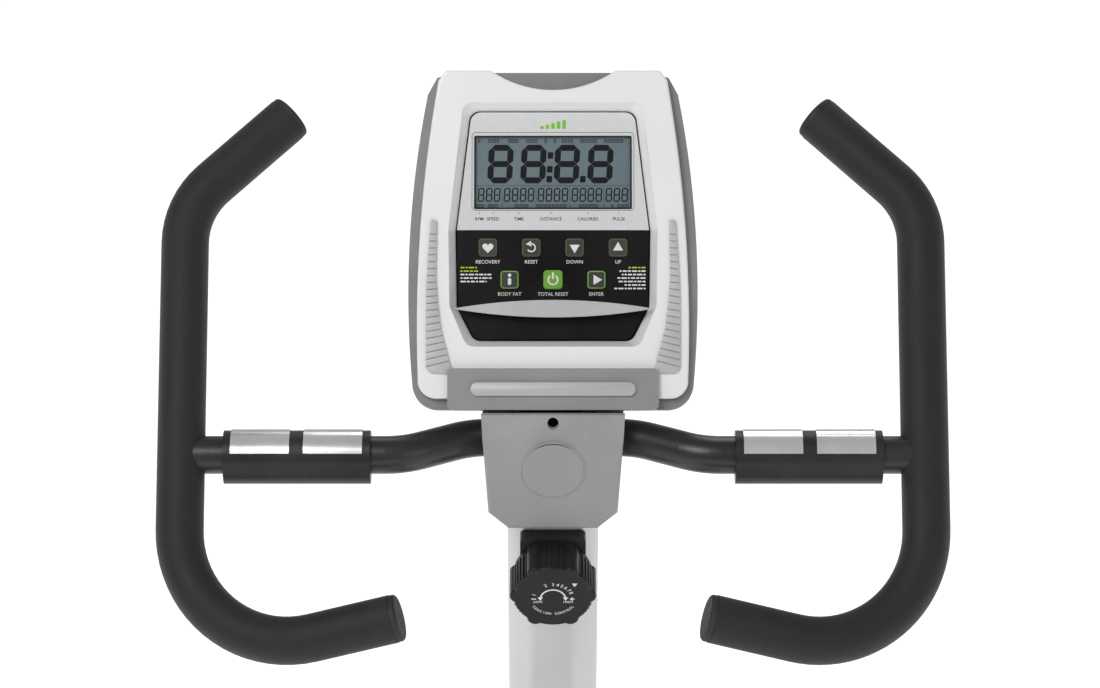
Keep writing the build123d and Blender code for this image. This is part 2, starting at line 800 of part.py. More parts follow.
with BuildPart() as brake_bracket:
    for side in (-1, 1):
        with BuildSketch(Plane.YZ.offset(side * brake_inner_x)):
            add(rim_band(flywheel_radius - 32, web_outer, band_start, brake_end_angle))
            with BuildLine():
                CenterArc((brake_pivot_y, brake_pivot_z), 8.5, 0, 360)
                CenterArc(polar(flywheel_radius - 2, band_start + 6), 8.5, 0, 360)
            make_hull()
        extrude(amount=side * brake_plate)
    with BuildSketch(Plane.YZ.offset(-brake_inner_x)):
        add(rim_band(web_inner, web_outer, band_start, brake_end_angle))
    extrude(amount=2 * brake_inner_x)
    with BuildSketch(Plane.YZ.offset(-brake_inner_x)):
        with Locations((brake_pivot_y, brake_pivot_z)):
            Circle(8.5)
    extrude(amount=2 * brake_inner_x)
    with BuildSketch(Plane.YZ.offset(-brake_inner_x - brake_plate)):
        with Locations((brake_pivot_y, brake_pivot_z)):
            Circle(4 + running_gap)
    extrude(amount=2 * (brake_inner_x + brake_plate), mode=Mode.SUBTRACT)

with BuildPart() as brake_magnets:
    for side in (-1, 1):
        with BuildSketch(Plane.YZ.offset(side * brake_inner_x)):
            for start in (-8, 12, 32):
                add(rim_band(flywheel_radius - 26, flywheel_radius - 4, start, start + 15))
        extrude(amount=-side * magnet_thickness)

# ---- Shroud ----

screw_places = (
    (crank_y - 158, crank_z - 30),
    (shroud_rear_y - 40, top_beam_z),
    (60, top_beam_z + 40),
    (225, top_beam_z + 40),
    (flywheel_y + flywheel_radius + 45, flywheel_z + 12),
    (120, beam_top + 23),
)


def shroud_half(side):
    with BuildPart() as made:
        with BuildSketch(Plane.YZ.offset(side * shroud_split_gap)):
            add(shroud_outline(0))
            with Locations((0, beam_top + shroud_bottom_gap)):
                Rectangle(1200, 600, align=(Align.CENTER, Align.MAX), mode=Mode.SUBTRACT)
        extrude(amount=side * (shroud_half_width - shroud_split_gap))
        outer_face = made.faces().sort_by(Axis.X)[-1 if side > 0 else 0]
        fillet(outer_face.edges(), radius=shroud_edge_radius)
        inner_face = made.faces().sort_by(Axis.X)[0 if side > 0 else -1]
        offset(amount=-shroud_wall, openings=inner_face)
        # Open floor over the beam, between the seat tube and the front crosspiece
        with Locations((0, (seat_tube_y + cross_y) / 2, beam_top + 16)):
            Box(2 * (shroud_half_width - 12), cross_y - seat_tube_y + 90, 36, mode=Mode.SUBTRACT)
        # Screw bosses
        with BuildSketch(Plane.YZ.offset(side * shroud_split_gap)):
            with Locations(*screw_places):
                Circle(screw_boss_radius)
        extrude(amount=side * (shroud_half_width - 2))
        with BuildSketch(Plane.YZ.offset(0)):
            with Locations(*screw_places):
                Circle(shroud_screw_radius + 0.2)
        extrude(amount=side * 18, mode=Mode.SUBTRACT)
        if side < 0:
            with BuildSketch(Plane.YZ.offset(-12)):
                with Locations(*screw_places):
                    Circle(5.2)
            extrude(amount=-shroud_half_width, mode=Mode.SUBTRACT)
        # Crank axle hole, seat tube hole and mast stub hole
        with BuildSketch(Plane.YZ.offset(side * (shroud_half_width - 10))):
            with Locations((crank_y, crank_z)):
                Circle(crank_axle_radius + 8)
        extrude(amount=side * 20, mode=Mode.SUBTRACT)
        with BuildSketch(seat_plane):
            Circle(seat_tube_radius + cover_gap)
        extrude(amount=seat_tube_length, mode=Mode.SUBTRACT)
        with BuildSketch(mast_plane.offset(stub_bottom + 20)):
            RectangleRounded(stub_width + 2 * cover_gap, stub_depth + 2 * cover_gap, mast_corner + stub_wall)
        extrude(amount=stub_length + 60, mode=Mode.SUBTRACT)
    return made


shroud_left = shroud_half(-1)
shroud_right = shroud_half(1)

with BuildPart() as shroud_screws:
    with BuildSketch(Plane.YZ.offset(-12)):
        with Locations(*screw_places):
            Circle(4.8)
    extrude(amount=-3)
    with BuildSketch(Plane.YZ.offset(-12)):
        with Locations(*screw_places):
            Circle(shroud_screw_radius)
    extrude(amount=26)

boot_bottom = top_beam_z + 36
boot_top = top_beam_z + 104


def mast_center_y(height):
    return mast_origin.Y - (height - mast_origin.Z) * math.tan(lean)


with BuildPart() as shroud_body:
    with BuildSketch(Plane.YZ.offset(-shroud_half_width)):
        add(shroud_outline(0.4))
    extrude(amount=2 * shroud_half_width)

with BuildPart() as mast_boot:
    with BuildSketch(Plane.XY.offset(boot_bottom)):
        with Locations((0, mast_center_y(boot_bottom))):
            RectangleRounded(stub_width + 26, stub_depth + 26, 36)
    with BuildSketch(Plane.XY.offset(boot_top)):
        with Locations((0, mast_center_y(boot_top))):
            RectangleRounded(mast_width + 9, mast_depth + 9, mast_corner + 4)
    loft()
    add(shroud_body.part, mode=Mode.SUBTRACT)
    with BuildSketch(mast_plane.offset(stub_bottom)):
        RectangleRounded(stub_width + 1, stub_depth + 1, mast_corner + stub_wall + 0.8)
    extrude(amount=stub_length + 0.5, mode=Mode.SUBTRACT)
    with BuildSketch(mast_plane.offset(stub_bottom)):
        mast_section(0.5)
    extrude(amount=mast_length, mode=Mode.SUBTRACT)

# ---- Mast ----

knob_boss_radius = 14.0
bracket_width = 60.0

with BuildPart() as mast:
    with BuildSketch(mast_plane.offset(mast_bottom)):
        mast_section(0)
    extrude(amount=mast_length)
    with BuildSketch(mast_plane.offset(mast_bottom)):
        mast_section(-tube_wall)
    extrude(amount=mast_length - 4, mode=Mode.SUBTRACT)
    # Cradle for the crossbar on the mast's head
    with Locations(grip_point + Vector(0, 30, -26)):
        Box(56, 38, 34)
    # Bracket plate that carries the console
    plate_back = -console_depth - 4
    with BuildSketch(face_side_plane.offset(-bracket_width / 2)):
        with BuildLine():
            Polyline(
                (60, -console_depth - 0.5),
                (112, -console_depth - 0.5),
                (112, plate_back),
                (56, plate_back - 1),
                (14, plate_back - 4),
                (8, -console_depth - 1),
                (60, -console_depth - 0.5),
            )
        make_face()
    extrude(amount=bracket_width)
    with BuildSketch(grip_side_plane.offset(-bracket_width / 2)):
        with BuildLine():
            Polyline((40, -36), (58, -36), (78, 18), (66, 12), (52, -8), (40, -20), (40, -36))
        make_face()
    extrude(amount=bracket_width)
    with BuildSketch(grip_side_plane.offset(-60)):
        with Locations((30, -3)):
            Circle(crossbar_radius + press_gap)
    extrude(amount=120, mode=Mode.SUBTRACT)
    # Hole for the tension control
    knob_plane = Plane(
        origin=mast_origin - mast_up * knob_below - mast_plane.y_dir * (mast_depth / 2),
        x_dir=(1, 0, 0),
        z_dir=mast_plane.y_dir * -1,
    )
    with BuildSketch(knob_plane):
        Circle(knob_boss_radius + body_gap)
    extrude(amount=-tube_wall - 1, mode=Mode.SUBTRACT)

# ---- Tension control ----

with BuildPart() as knob_housing:
    with BuildSketch(knob_plane.offset(0.1)):
        with Locations((0, 2)):
            RectangleRounded(knob_block_width, 62, 4)
    extrude(amount=knob_block_thickness)
    with BuildSketch(knob_plane.offset(0.1)):
        Circle(knob_boss_radius)
    extrude(amount=-20)
    with BuildSketch(knob_plane.offset(knob_block_thickness + 0.1)):
        Circle(knob_stem_radius + running_gap)
    extrude(amount=-knob_block_thickness - 21, mode=Mode.SUBTRACT)

with BuildPart() as tension_knob:
    with BuildSketch(knob_plane.offset(knob_block_thickness + 0.8)):
        Circle(knob_radius)
        with PolarLocations(knob_lobe_radius - knob_lobe_round, 6):
            Circle(knob_lobe_round)
    extrude(amount=knob_depth)
    fillet(tension_knob.faces().sort_by(Axis(knob_plane.origin, knob_plane.z_dir))[-1].edges(), radius=1.5)
    with BuildSketch(knob_plane.offset(knob_block_thickness + 0.8)):
        Circle(knob_stem_radius)
    extrude(amount=-knob_block_thickness - 22)

cable_radius = 2.0
cable_start = knob_plane.origin - knob_plane.z_dir * 24 - mast_up * 10
cable_entry = mast_origin + mast_up * (mast_bottom + 40)
cable_exit = mast_origin + mast_up * (stub_bottom - 4)

with BuildPart() as tension_cable:
    with BuildLine() as cable_line:
        FilletPolyline(cable_start, cable_entry, cable_exit, radius=60)
    with BuildSketch(cable_line.line ^ 0):
        Circle(cable_radius)
    sweep()

# ---- Handlebar ----

bar_head = Vector(199.6, 181, 194)
bar_upper = Vector(bar_half_width, 125, 144)
bar_lower = Vector(bar_half_width, -105, -122)
bar_tail = Vector(112.4, -104, -76)
upper_bend = 64.0
lower_bend = 85.0


def mirrored(point, side):
    return grip_point + Vector(point.X * side, point.Y, point.Z)


def side_path(side, shorten):
    head = bar_head + (bar_upper - bar_head).normalized() * shorten
    tail = bar_tail + (bar_lower - bar_tail).normalized() * shorten
    corners = [mirrored(point, side) for point in (head, bar_upper, bar_lower, tail)]
    return FilletPolyline(*corners, radius=[upper_bend, lower_bend])


def cross_path():
    half = [Vector(bar_half_width, 0, 0), Vector(112, 0, 0), Vector(62, 30, -3)]
    corners = [mirrored(point, -1) for point in half] + [mirrored(point, 1) for point in reversed(half)]
    return FilletPolyline(*corners, radius=50)


with BuildPart() as handlebar:
    for side in (-1, 1):
        with BuildLine() as side_line:
            side_path(side, bar_plug_thickness)
        with BuildSketch(side_line.line ^ 0):
            Circle(side_tube_radius)
        sweep(path=side_line.line)
    with BuildLine() as cross_line:
        cross_path()
    with BuildSketch(cross_line.line ^ 0):
        Circle(crossbar_radius)
    sweep(path=cross_line.line)
    with BuildSketch(cross_line.line ^ 0):
        Circle(crossbar_radius - bar_wall)
    sweep(path=cross_line.line, mode=Mode.SUBTRACT)
    for side in (-1, 1):
        with BuildLine() as side_line:
            side_path(side, bar_plug_thickness)
        with BuildSketch(side_line.line ^ 0):
            Circle(side_tube_radius - bar_wall)
        sweep(path=side_line.line, mode=Mode.SUBTRACT)

with BuildPart() as foam_grips:
    for side in (-1, 1):
        with BuildLine() as side_line:
            side_path(side, bar_plug_thickness + 0.2)
        with BuildSketch(side_line.line ^ 0):
            Circle(foam_radius)
            Circle(side_tube_radius + press_gap, mode=Mode.SUBTRACT)
        sweep(path=side_line.line)
    with BuildSketch(Plane.YZ.offset(-bar_half_width)):
        with Locations((grip_y, grip_z)):
            Circle(crossbar_radius + body_gap)
    extrude(amount=2 * bar_half_width, mode=Mode.SUBTRACT)

with BuildPart() as bar_end_caps:
    for side in (-1, 1):
        for tip, inward in ((bar_head, bar_upper), (bar_tail, bar_lower)):
            tip_point = mirrored(tip, side)
            plug_plane = Plane(origin=tip_point, z_dir=mirrored(inward, side) - tip_point)
            with BuildSketch(plug_plane):
                Circle(foam_radius - 0.4)
            extrude(amount=bar_plug_thickness)
            rims = bar_end_caps.edges().filter_by(GeomType.CIRCLE)
            fillet(rims.sort_by(lambda rim: (rim.arc_center - tip_point).length)[0], radius=2.5)
            with BuildSketch(plug_plane.offset(bar_plug_thickness)):
                Circle(side_tube_radius - bar_wall - press_gap)
            extrude(amount=14)

with BuildPart() as handlebar_clamp:
    clamp_center = grip_point + Vector(0, 30, -3)
    with Locations(clamp_center + Vector(0, 0, 8)):
        Box(44, 38, 20)
    with BuildSketch(Plane.YZ.offset(-30)):
        with Locations((clamp_center.Y, clamp_center.Z)):
            Circle(crossbar_radius + press_gap)
    extrude(amount=60, mode=Mode.SUBTRACT)
    with Locations(clamp_center + Vector(0, 0, -5)):
        Box(60, 60, 10, mode=Mode.SUBTRACT)
    with BuildSketch(grip_side_plane.offset(-30)):
        with BuildLine():
            Polyline((38, 37), (70, 37), (70, -13), (38, 37))
        make_face()
    extrude(amount=60, mode=Mode.SUBTRACT)


with BuildSketch() as pulse_section:
    with BuildLine():
        CenterArc((0, 0), pulse_radius, 0, 360)
        CenterArc((-4, -6), pulse_radius - 4, 0, 360)
    make_hull()
    Circle(crossbar_radius + press_gap, mode=Mode.SUBTRACT)


with BuildPart() as pulse_housings:
    for side in (-1, 1):
        start_x = side * (pulse_center_x - pulse_length / 2)
        with BuildSketch(grip_side_plane.offset(start_x)):
            add(pulse_section.sketch)
        extrude(amount=side * pulse_length)

with BuildPart() as pulse_plates:
    for side in (-1, 1):
        for step in (-1, 1):
            center_x = side * (pulse_center_x + step * pulse_plate_offset)
            with BuildSketch(grip_side_plane.offset(center_x - pulse_plate_length / 2)):
                Circle(pulse_radius + 0.1 + pulse_plate_thickness)
                Circle(pulse_radius + 0.1, mode=Mode.SUBTRACT)
                with BuildLine():
                    Polyline((0, 0), (-60, 41), (-60, 80), (60, 80), (60, 50), (0, 0))
                make_face(mode=Mode.INTERSECT)
            extrude(amount=pulse_plate_length)

# ---- Neck cover ----

neck_half_low = 49.0
neck_half_high = 54.5
neck_bottom = -65.0
neck_front = -2.0
neck_back = 78.0
neck_wall = 3.0
neck_edge_radius = 2.6


def neck_solid(inset):
    # Side profile crossed with the front profile
    with BuildPart() as made:
        with BuildSketch(grip_side_plane.offset(-80)):
            with BuildLine():
                Polyline(
                    (neck_front + inset, neck_bottom + inset),
                    (neck_front + inset, 6),
                    (8 + inset, 30 - inset),
                    (11 + inset / 2, 30 - inset),
                    (27 + inset / 2, 18.5 - inset),
                    (neck_back - inset, 33 - inset),
                    (neck_back - inset, -20),
                    (66 - inset, neck_bottom + inset),
                    (neck_front + inset, neck_bottom + inset),
                )
            make_face()
        extrude(amount=160)
        with BuildSketch(grip_rear_plane.offset(-100)):
            with BuildLine():
                Polyline(
                    (-34 + inset, neck_bottom + inset),
                    (34 - inset, neck_bottom + inset),
                    (neck_half_low - inset, neck_bottom + 14),
                    (neck_half_high - inset, 40),
                    (-neck_half_high + inset, 40),
                    (-neck_half_low + inset, neck_bottom + 14),
                    (-34 + inset, neck_bottom + inset),
                )
            make_face()
        extrude(amount=120, mode=Mode.INTERSECT)
    return made


neck_outer = neck_solid(0)
with neck_outer:
    fillet(neck_outer.faces().sort_by(Axis.Y)[0].edges(), radius=neck_edge_radius)
neck_inner = neck_solid(neck_wall)


def neck_half(front):
    with BuildPart() as made:
        add(neck_outer.part)
        add(neck_inner.part, mode=Mode.SUBTRACT)
        # Sleeves for the crossbar, the mast and the console bracket
        with BuildSketch(Plane.YZ.offset(-80)):
            with Locations((grip_y + 25, grip_z - 3)):
                SlotCenterToCenter(14, 2 * (crossbar_radius + 1.2))
        extrude(amount=160, mode=Mode.SUBTRACT)
        with BuildSketch(mast_plane.offset(-30)):
            mast_section(0.6)
        extrude(amount=70, mode=Mode.SUBTRACT)
        with BuildSketch(Plane.XY.offset(grip_z)):
            with Locations((0, grip_y + 56)):
                Rectangle(bracket_width + 4, 52)
        extrude(amount=60, mode=Mode.SUBTRACT)
        split_plane = Plane(origin=grip_point + Vector(0, 30, 0), z_dir=(0, 1, 0))
        split(bisect_by=split_plane, keep=Keep.BOTTOM if front else Keep.TOP)
        if front:
            with BuildSketch(grip_rear_plane.offset(-16)):
                with Locations((0, 24)):
                    Circle(4.3)
            extrude(amount=40, mode=Mode.SUBTRACT)
    return made


neck_cover_front = neck_half(True)
neck_cover_rear = neck_half(False)

# ---- Console ----


def underside_wedge(inset):
    # The back shell's underside leans up from the lip to the back.
    with BuildPart() as wedge:
        with BuildSketch(face_side_plane.offset(-140)):
            with BuildLine():
                Polyline(
                    (-30, -6),
                    (-30, -90),
                    (90 + inset, -90),
                    (52 + inset, -console_depth),
                    (inset, -15),
                    (inset - 10, -6),
                    (-30, -6),
                )
            make_face()
        extrude(amount=280)
    return wedge.part


with BuildPart() as console_cavity:
    with BuildSketch(face_plane.offset(console_wall - console_depth)):
        add(back_outline(console_wall))
    extrude(amount=console_depth)
    add(underside_wedge(console_wall + 1), mode=Mode.SUBTRACT)

door_middle = 150.0
door_length = 64.0
door_half_width = 36.0

with BuildPart() as console_back:
    with BuildSketch(face_plane.offset(-console_depth)):
        add(back_outline(0))
    extrude(amount=console_depth - back_front_depth)
    fillet(console_back.faces().sort_by(Axis(face_origin, face_normal))[0].edges(), radius=2)
    add(underside_wedge(0), mode=Mode.SUBTRACT)
    add(console_cavity.part, mode=Mode.SUBTRACT)
    # Rim that closes the gap round the bezel
    with BuildSketch(face_plane.offset(-back_front_depth - console_wall)):
        add(back_outline(0))
        add(bezel_outline(0), mode=Mode.SUBTRACT)
    extrude(amount=console_wall)
    # Battery opening
    with BuildSketch(face_plane.offset(-console_depth - 1)):
        with Locations((0, door_middle)):
            Rectangle(2 * door_half_width - 8, door_length - 8)
    extrude(amount=console_wall + 2, mode=Mode.SUBTRACT)

with BuildPart() as battery_door:
    with BuildSketch(face_plane.offset(-console_depth - body_gap)):
        with Locations((0, door_middle)):
            RectangleRounded(2 * door_half_width, door_length, 5)
    extrude(amount=-2.5)

with BuildPart() as console_bezel:
    with BuildSketch(face_plane.offset(-back_front_depth + body_gap)):
        add(bezel_outline(-body_gap))
    extrude(amount=back_front_depth - body_gap)
    bezel_front = console_bezel.faces().sort_by(Axis(face_origin, face_normal))[-1]
    fillet(bezel_front.edges(), radius=bezel_edge_radius)
    # Skirt that reaches down inside the back shell
    with BuildSketch(face_plane.offset(-bezel_depth)):
        add(bezel_outline(-body_gap))
        add(back_outline(console_wall + body_gap), mode=Mode.INTERSECT)
    extrude(amount=bezel_depth - back_front_depth + 1)
    with BuildSketch(face_plane.offset(-bezel_depth)):
        add(bezel_outline(-body_gap - bezel_wall))
        add(back_outline(console_wall + body_gap + bezel_wall), mode=Mode.INTERSECT)
    extrude(amount=bezel_depth - bezel_wall, mode=Mode.SUBTRACT)
    # Dished recess: a sloping wall from the rim down to the overlay
    with BuildSketch(face_plane.offset(overlay_back)):
        add(recess_outline(bezel_wall))
    with BuildSketch(face_plane.offset(-1)):
        add(recess_outline(recess_slope + bezel_wall))
    loft()
    with BuildSketch(face_plane.offset(overlay_back - 1)):
        add(recess_outline(0.2))
    with BuildSketch(face_plane.offset(0.1)):
        add(recess_outline(recess_slope))
    loft(mode=Mode.SUBTRACT)

button_places = {
    "button_recovery": (-1.5 * button_pitch, button_row_high),
    "button_reset": (-0.5 * button_pitch, button_row_high),
    "button_down": (0.5 * button_pitch, button_row_high),
    "button_up": (1.5 * button_pitch, button_row_high),
    "button_body_fat": (-button_pitch, button_row_low),
    "button_total_reset": (0, button_row_low),
    "button_enter": (button_pitch, button_row_low),
}
lcd_middle = (lcd_low + lcd_high) / 2

with BuildPart() as console_overlay:
    with BuildSketch(face_plane.offset(overlay_back)):
        add(recess_outline(-0.3))
        with Locations((0, lcd_middle)):
            Rectangle(2 * lcd_half_width, lcd_high - lcd_low, mode=Mode.SUBTRACT)
        with Locations(*button_places.values()):
            RectangleRounded(button_size + 2 * body_gap, button_size + 2 * body_gap, 3, mode=Mode.SUBTRACT)
    extrude(amount=overlay_thickness)

with BuildPart() as lcd_module:
    with BuildSketch(face_plane.offset(overlay_back - 0.1)):
        with Locations((0, lcd_middle)):
            RectangleRounded(2 * lcd_half_width + 3, lcd_high - lcd_low + 8, 2)
    extrude(amount=-6)

board_front = overlay_back - 12

with BuildPart() as console_pcb:
    with BuildSketch(face_plane.offset(board_front)):
        with Locations((0, 142)):
            RectangleRounded(132, 140, 3)
    extrude(amount=-1.6)
    # Key switches
    with BuildSketch(face_plane.offset(board_front)):
        with Locations(*button_places.values()):
            Rectangle(6, 6)
    extrude(amount=5)

console_buttons = {}
for button_name, place in button_places.items():
    with BuildPart() as button:
        with BuildSketch(face_plane.offset(overlay_front + button_proud)):
            with Locations(place):
                RectangleRounded(button_size, button_size, 2.8)
        extrude(amount=-button_proud - overlay_thickness - 0.4)
        fillet(button.faces().sort_by(Axis(face_origin, face_normal))[-1].edges(), radius=0.5)
        with BuildSketch(face_plane.offset(overlay_back - 0.3)):
            with Locations(place):
                RectangleRounded(button_size + 2, button_size + 2, 2)
        extrude(amount=-1.2)
        with BuildSketch(face_plane.offset(overlay_back - 1.5)):
            with Locations(place):
                Circle(2.5)
        extrude(amount=-(12 - 5 - 1.5 - button_travel - 0.3))
    console_buttons[button_name] = button

bar_middle = 75.5
bar_half_length = 75.0
bar_half_height = 6.5

with BuildPart() as page_bar:
    with BuildSketch(face_plane.offset(0.4)):
        with Locations((0, bar_middle)):
            add(lens_outline(bar_half_length, bar_half_height))
    extrude(amount=2.6)
    with BuildSketch(face_plane.offset(overlay_front + 0.05)):
        with Locations((0, bar_middle)):
            add(lens_outline(bar_half_length - 12, bar_half_height - 1))
    extrude(amount=-overlay_front + 0.5)

with BuildPart() as console_lip:
    with BuildSketch(face_plane.offset(0.05)):
        with Locations((0, (lip_top - 1) / 2)):
            RectangleRounded(2 * lip_half_width, lip_top + 1, 4)
    extrude(amount=lip_proud - 2)
    with BuildSketch(face_plane.offset(body_gap - back_front_depth)):
        with Locations((0, 3.2)):
            Rectangle(2 * lip_half_width - 2, 7.8)
    extrude(amount=back_front_depth + 1)
    with BuildSketch(face_plane.offset(lip_proud - 2)):
        with Locations((0, 14.5)):
            SlotOverall(123, 9.4)
    extrude(amount=2)

with BuildPart() as console_trims:
    with BuildSketch(face_plane.offset(0.05)):
        with BuildLine():
            FilletPolyline(
                (87.5, 142),
                (92.5, 142),
                (95.5, 90),
                (95.5, 27),
                (76, 31),
                (84, 60),
                (88.5, 100),
                radius=1.8,
                close=True,
            )
        make_face()
        mirror(about=Plane.YZ)
    extrude(amount=2.4)

# ---- Seat post and saddle ----

rail_bottom = post_head.Z
rail_top = rail_bottom + rail_height
saddle_y = post_head.Y
slider_top = rail_top + slider_wall
cushion_bottom = slider_top + pan_thickness

with BuildPart() as seat_post:
    with BuildSketch(seat_plane.offset(seat_post_bottom)):
        Circle(seat_post_radius)
    extrude(amount=seat_post_length + 10)
    with Locations((0, saddle_y, rail_bottom)):
        Box(200, 200, 60, align=(Align.CENTER, Align.CENTER, Align.MIN), mode=Mode.SUBTRACT)
    # Horizontal rail on the post's head
    with Locations((0, saddle_y, rail_bottom + rail_height / 2)):
        Box(rail_width, rail_length, rail_height)
    with BuildSketch(seat_plane.offset(seat_post_bottom)):
        Circle(seat_post_radius - tube_wall)
    extrude(amount=seat_post_length - 8, mode=Mode.SUBTRACT)
    for step in range(seat_hole_count):
        hole_height = pin_height - step * seat_hole_pitch
        hole_plane = Plane(
            origin=seat_origin + seat_up * hole_height, x_dir=(1, 0, 0), z_dir=seat_plane.y_dir * -1
        )
        with BuildSketch(hole_plane):
            Circle(pin_radius + body_gap)
        extrude(amount=seat_post_radius + 2, mode=Mode.SUBTRACT)

with BuildPart() as seat_height_knob:
    # The pin stops just short of the post; the knob stands off the boss
    with BuildSketch(pin_plane.offset(seat_post_radius + body_gap + 0.1)):
        Circle(pin_radius)
    extrude(amount=pin_boss_length + 6)
    with BuildSketch(pin_plane.offset(seat_tube_radius + pin_boss_length + body_gap)):
        Circle(height_knob_radius - 3)
        with PolarLocations(height_knob_radius - 6, 6):
            Circle(6)
    extrude(amount=24)
    fillet(seat_height_knob.faces().sort_by(Axis(pin_plane.origin, pin_plane.z_dir))[-1].edges(), radius=1.5)

with BuildPart() as saddle_slider:
    slider_width = rail_width + 2 * (body_gap + slider_wall)
    with Locations((0, saddle_y, slider_top - (rail_height + slider_wall - 2) / 2)):
        Box(slider_width, slider_length, rail_height + slider_wall - 2)
    with Locations((0, saddle_y, rail_top - rail_height / 2 + body_gap)):
        Box(rail_width + 2 * body_gap, slider_length, rail_height, mode=Mode.SUBTRACT)
    with Locations((0, saddle_y + 30, slider_top - 1), (0, saddle_y - 30, slider_top - 1)):
        Box(slider_width + 30, 22, 2)


def saddle_outline(inset):
    half = saddle_width / 2
    with BuildSketch() as outline:
        with BuildLine():
            for x in (62 - half, half - 62):
                CenterArc((x, saddle_y - saddle_length / 2 + 62), 62 - inset, 0, 360)
            CenterArc((0, saddle_y + saddle_length / 2 - 26), 26 - inset, 0, 360)
        make_hull()
    return outline.sketch


with BuildPart() as saddle_pan:
    with BuildSketch(Plane.XY.offset(slider_top)):
        add(saddle_outline(14))
    extrude(amount=pan_thickness)
    fillet(saddle_pan.faces().sort_by(Axis.Z)[0].edges(), radius=4)

with BuildPart() as saddle_cushion:
    with BuildSketch(Plane.XY.offset(cushion_bottom + 0.1)):
        add(saddle_outline(0))
    extrude(amount=cushion_thickness)
    fillet(saddle_cushion.faces().sort_by(Axis.Z)[-1].edges(), radius=22)
    fillet(saddle_cushion.faces().sort_by(Axis.Z)[0].edges(), radius=8)

# ---- Write one file for each piece ----

pieces = {
    "main_frame": main_frame,
    "front_stabilizer": front_stabilizer,
    "rear_stabilizer": rear_stabilizer,
    "front_end_caps": front_end_caps,
    "rear_end_caps": rear_end_caps,
    "transport_wheel_left": transport_wheel_left,
    "transport_wheel_right": transport_wheel_right,
    "frame_bolts": frame_bolts,
    "crank_bearings": crank_bearings,
    "crank_axle": crank_axle,
    "drive_pulley": drive_pulley,
    "crank_arm_left": crank_arm_left,
    "crank_arm_right": crank_arm_right,
    "crank_bolt_caps": crank_bolt_caps,
    "pedal_left": pedal_left,
    "pedal_right": pedal_right,
    "pedal_strap_left": pedal_strap_left,
    "pedal_strap_right": pedal_strap_right,
    "flywheel": flywheel,
    "flywheel_axle": flywheel_axle,
    "drive_belt": drive_belt,
    "brake_bracket": brake_bracket,
    "brake_magnets": brake_magnets,
    "tension_cable": tension_cable,
    "shroud_left": shroud_left,
    "shroud_right": shroud_right,
    "shroud_screws": shroud_screws,
    "mast_boot": mast_boot,
    "mast": mast,
    "knob_housing": knob_housing,
    "tension_knob": tension_knob,
    "handlebar": handlebar,
    "handlebar_clamp": handlebar_clamp,
    "foam_grips": foam_grips,
    "bar_end_caps": bar_end_caps,
    "pulse_housings": pulse_housings,
    "pulse_plates": pulse_plates,
    "neck_cover_front": neck_cover_front,
    "neck_cover_rear": neck_cover_rear,
    "console_back": console_back,
    "battery_door": battery_door,
    "console_bezel": console_bezel,
    "console_overlay": console_overlay,
    "console_lcd": lcd_module,
    "console_pcb": console_pcb,
    "console_page_bar": page_bar,
    "console_lip": console_lip,
    "console_trims": console_trims,
    "seat_post": seat_post,
    "seat_height_knob": seat_height_knob,
    "saddle_slider": saddle_slider,
    "saddle_pan": saddle_pan,
    "saddle_cushion": saddle_cushion,
    **console_buttons,
}

for piece_name, piece in pieces.items():
    piece.part.label = piece_name
    export_step(piece.part, f"parts/{piece_name}.step")
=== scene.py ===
import json
import math

import bmesh
import bpy
from mathutils import Matrix, Vector


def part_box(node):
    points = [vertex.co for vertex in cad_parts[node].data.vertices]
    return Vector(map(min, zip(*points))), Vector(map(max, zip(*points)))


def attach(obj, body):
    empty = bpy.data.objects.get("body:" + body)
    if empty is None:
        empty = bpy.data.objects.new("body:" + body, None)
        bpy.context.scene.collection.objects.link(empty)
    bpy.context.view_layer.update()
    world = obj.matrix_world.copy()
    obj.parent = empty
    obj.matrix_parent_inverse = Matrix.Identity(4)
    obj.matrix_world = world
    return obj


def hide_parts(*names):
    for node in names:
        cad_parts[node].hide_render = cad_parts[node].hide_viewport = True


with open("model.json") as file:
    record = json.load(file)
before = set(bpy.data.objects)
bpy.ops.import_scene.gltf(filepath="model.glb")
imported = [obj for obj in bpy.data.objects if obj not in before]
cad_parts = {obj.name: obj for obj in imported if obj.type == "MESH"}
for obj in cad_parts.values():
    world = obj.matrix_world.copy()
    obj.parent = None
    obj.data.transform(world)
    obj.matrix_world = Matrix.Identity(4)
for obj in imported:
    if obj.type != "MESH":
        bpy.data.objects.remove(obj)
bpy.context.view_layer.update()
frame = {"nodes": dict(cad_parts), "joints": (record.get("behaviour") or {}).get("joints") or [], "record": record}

nodes = frame["nodes"]
joints = {joint["name"]: joint for joint in frame["joints"]}
mm = 0.001
fullTurn = 2 * math.pi
backwards = Vector((0, -1, 0))
upwards = Vector((0, 0, 1))
print("frame loaded:", len(nodes), "nodes")


# Places are read from the frame's own nodes and joints.
def reach(name, direction, least=False):
    # how far a node goes along a direction
    spans = [direction.dot(corner.co) for corner in nodes[name].data.vertices]
    return min(spans) if least else max(spans)


def middle(name):
    low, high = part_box(name)
    return (Vector(low) + Vector(high)) / 2


def facing(out, up, origin):
    # local x to the right, y up the face, z out of it
    across = up.cross(out)
    turned = Matrix((across, up, out)).transposed().to_4x4()
    return Matrix.Translation(origin) @ turned


def crossing(out, up, x, rise, proud):
    # the point that lies x across, rise along up and proud along out
    return up.cross(out) * x + up * rise + out * proud


faceOut = -Vector(joints["button_enter_press"]["axis"]).normalized()
faceUp = Vector((0, faceOut.z, -faceOut.y))
faceTop = reach("console_bezel", faceOut)
faceFoot = reach("console_lip", faceUp, least=True) + 1 * mm


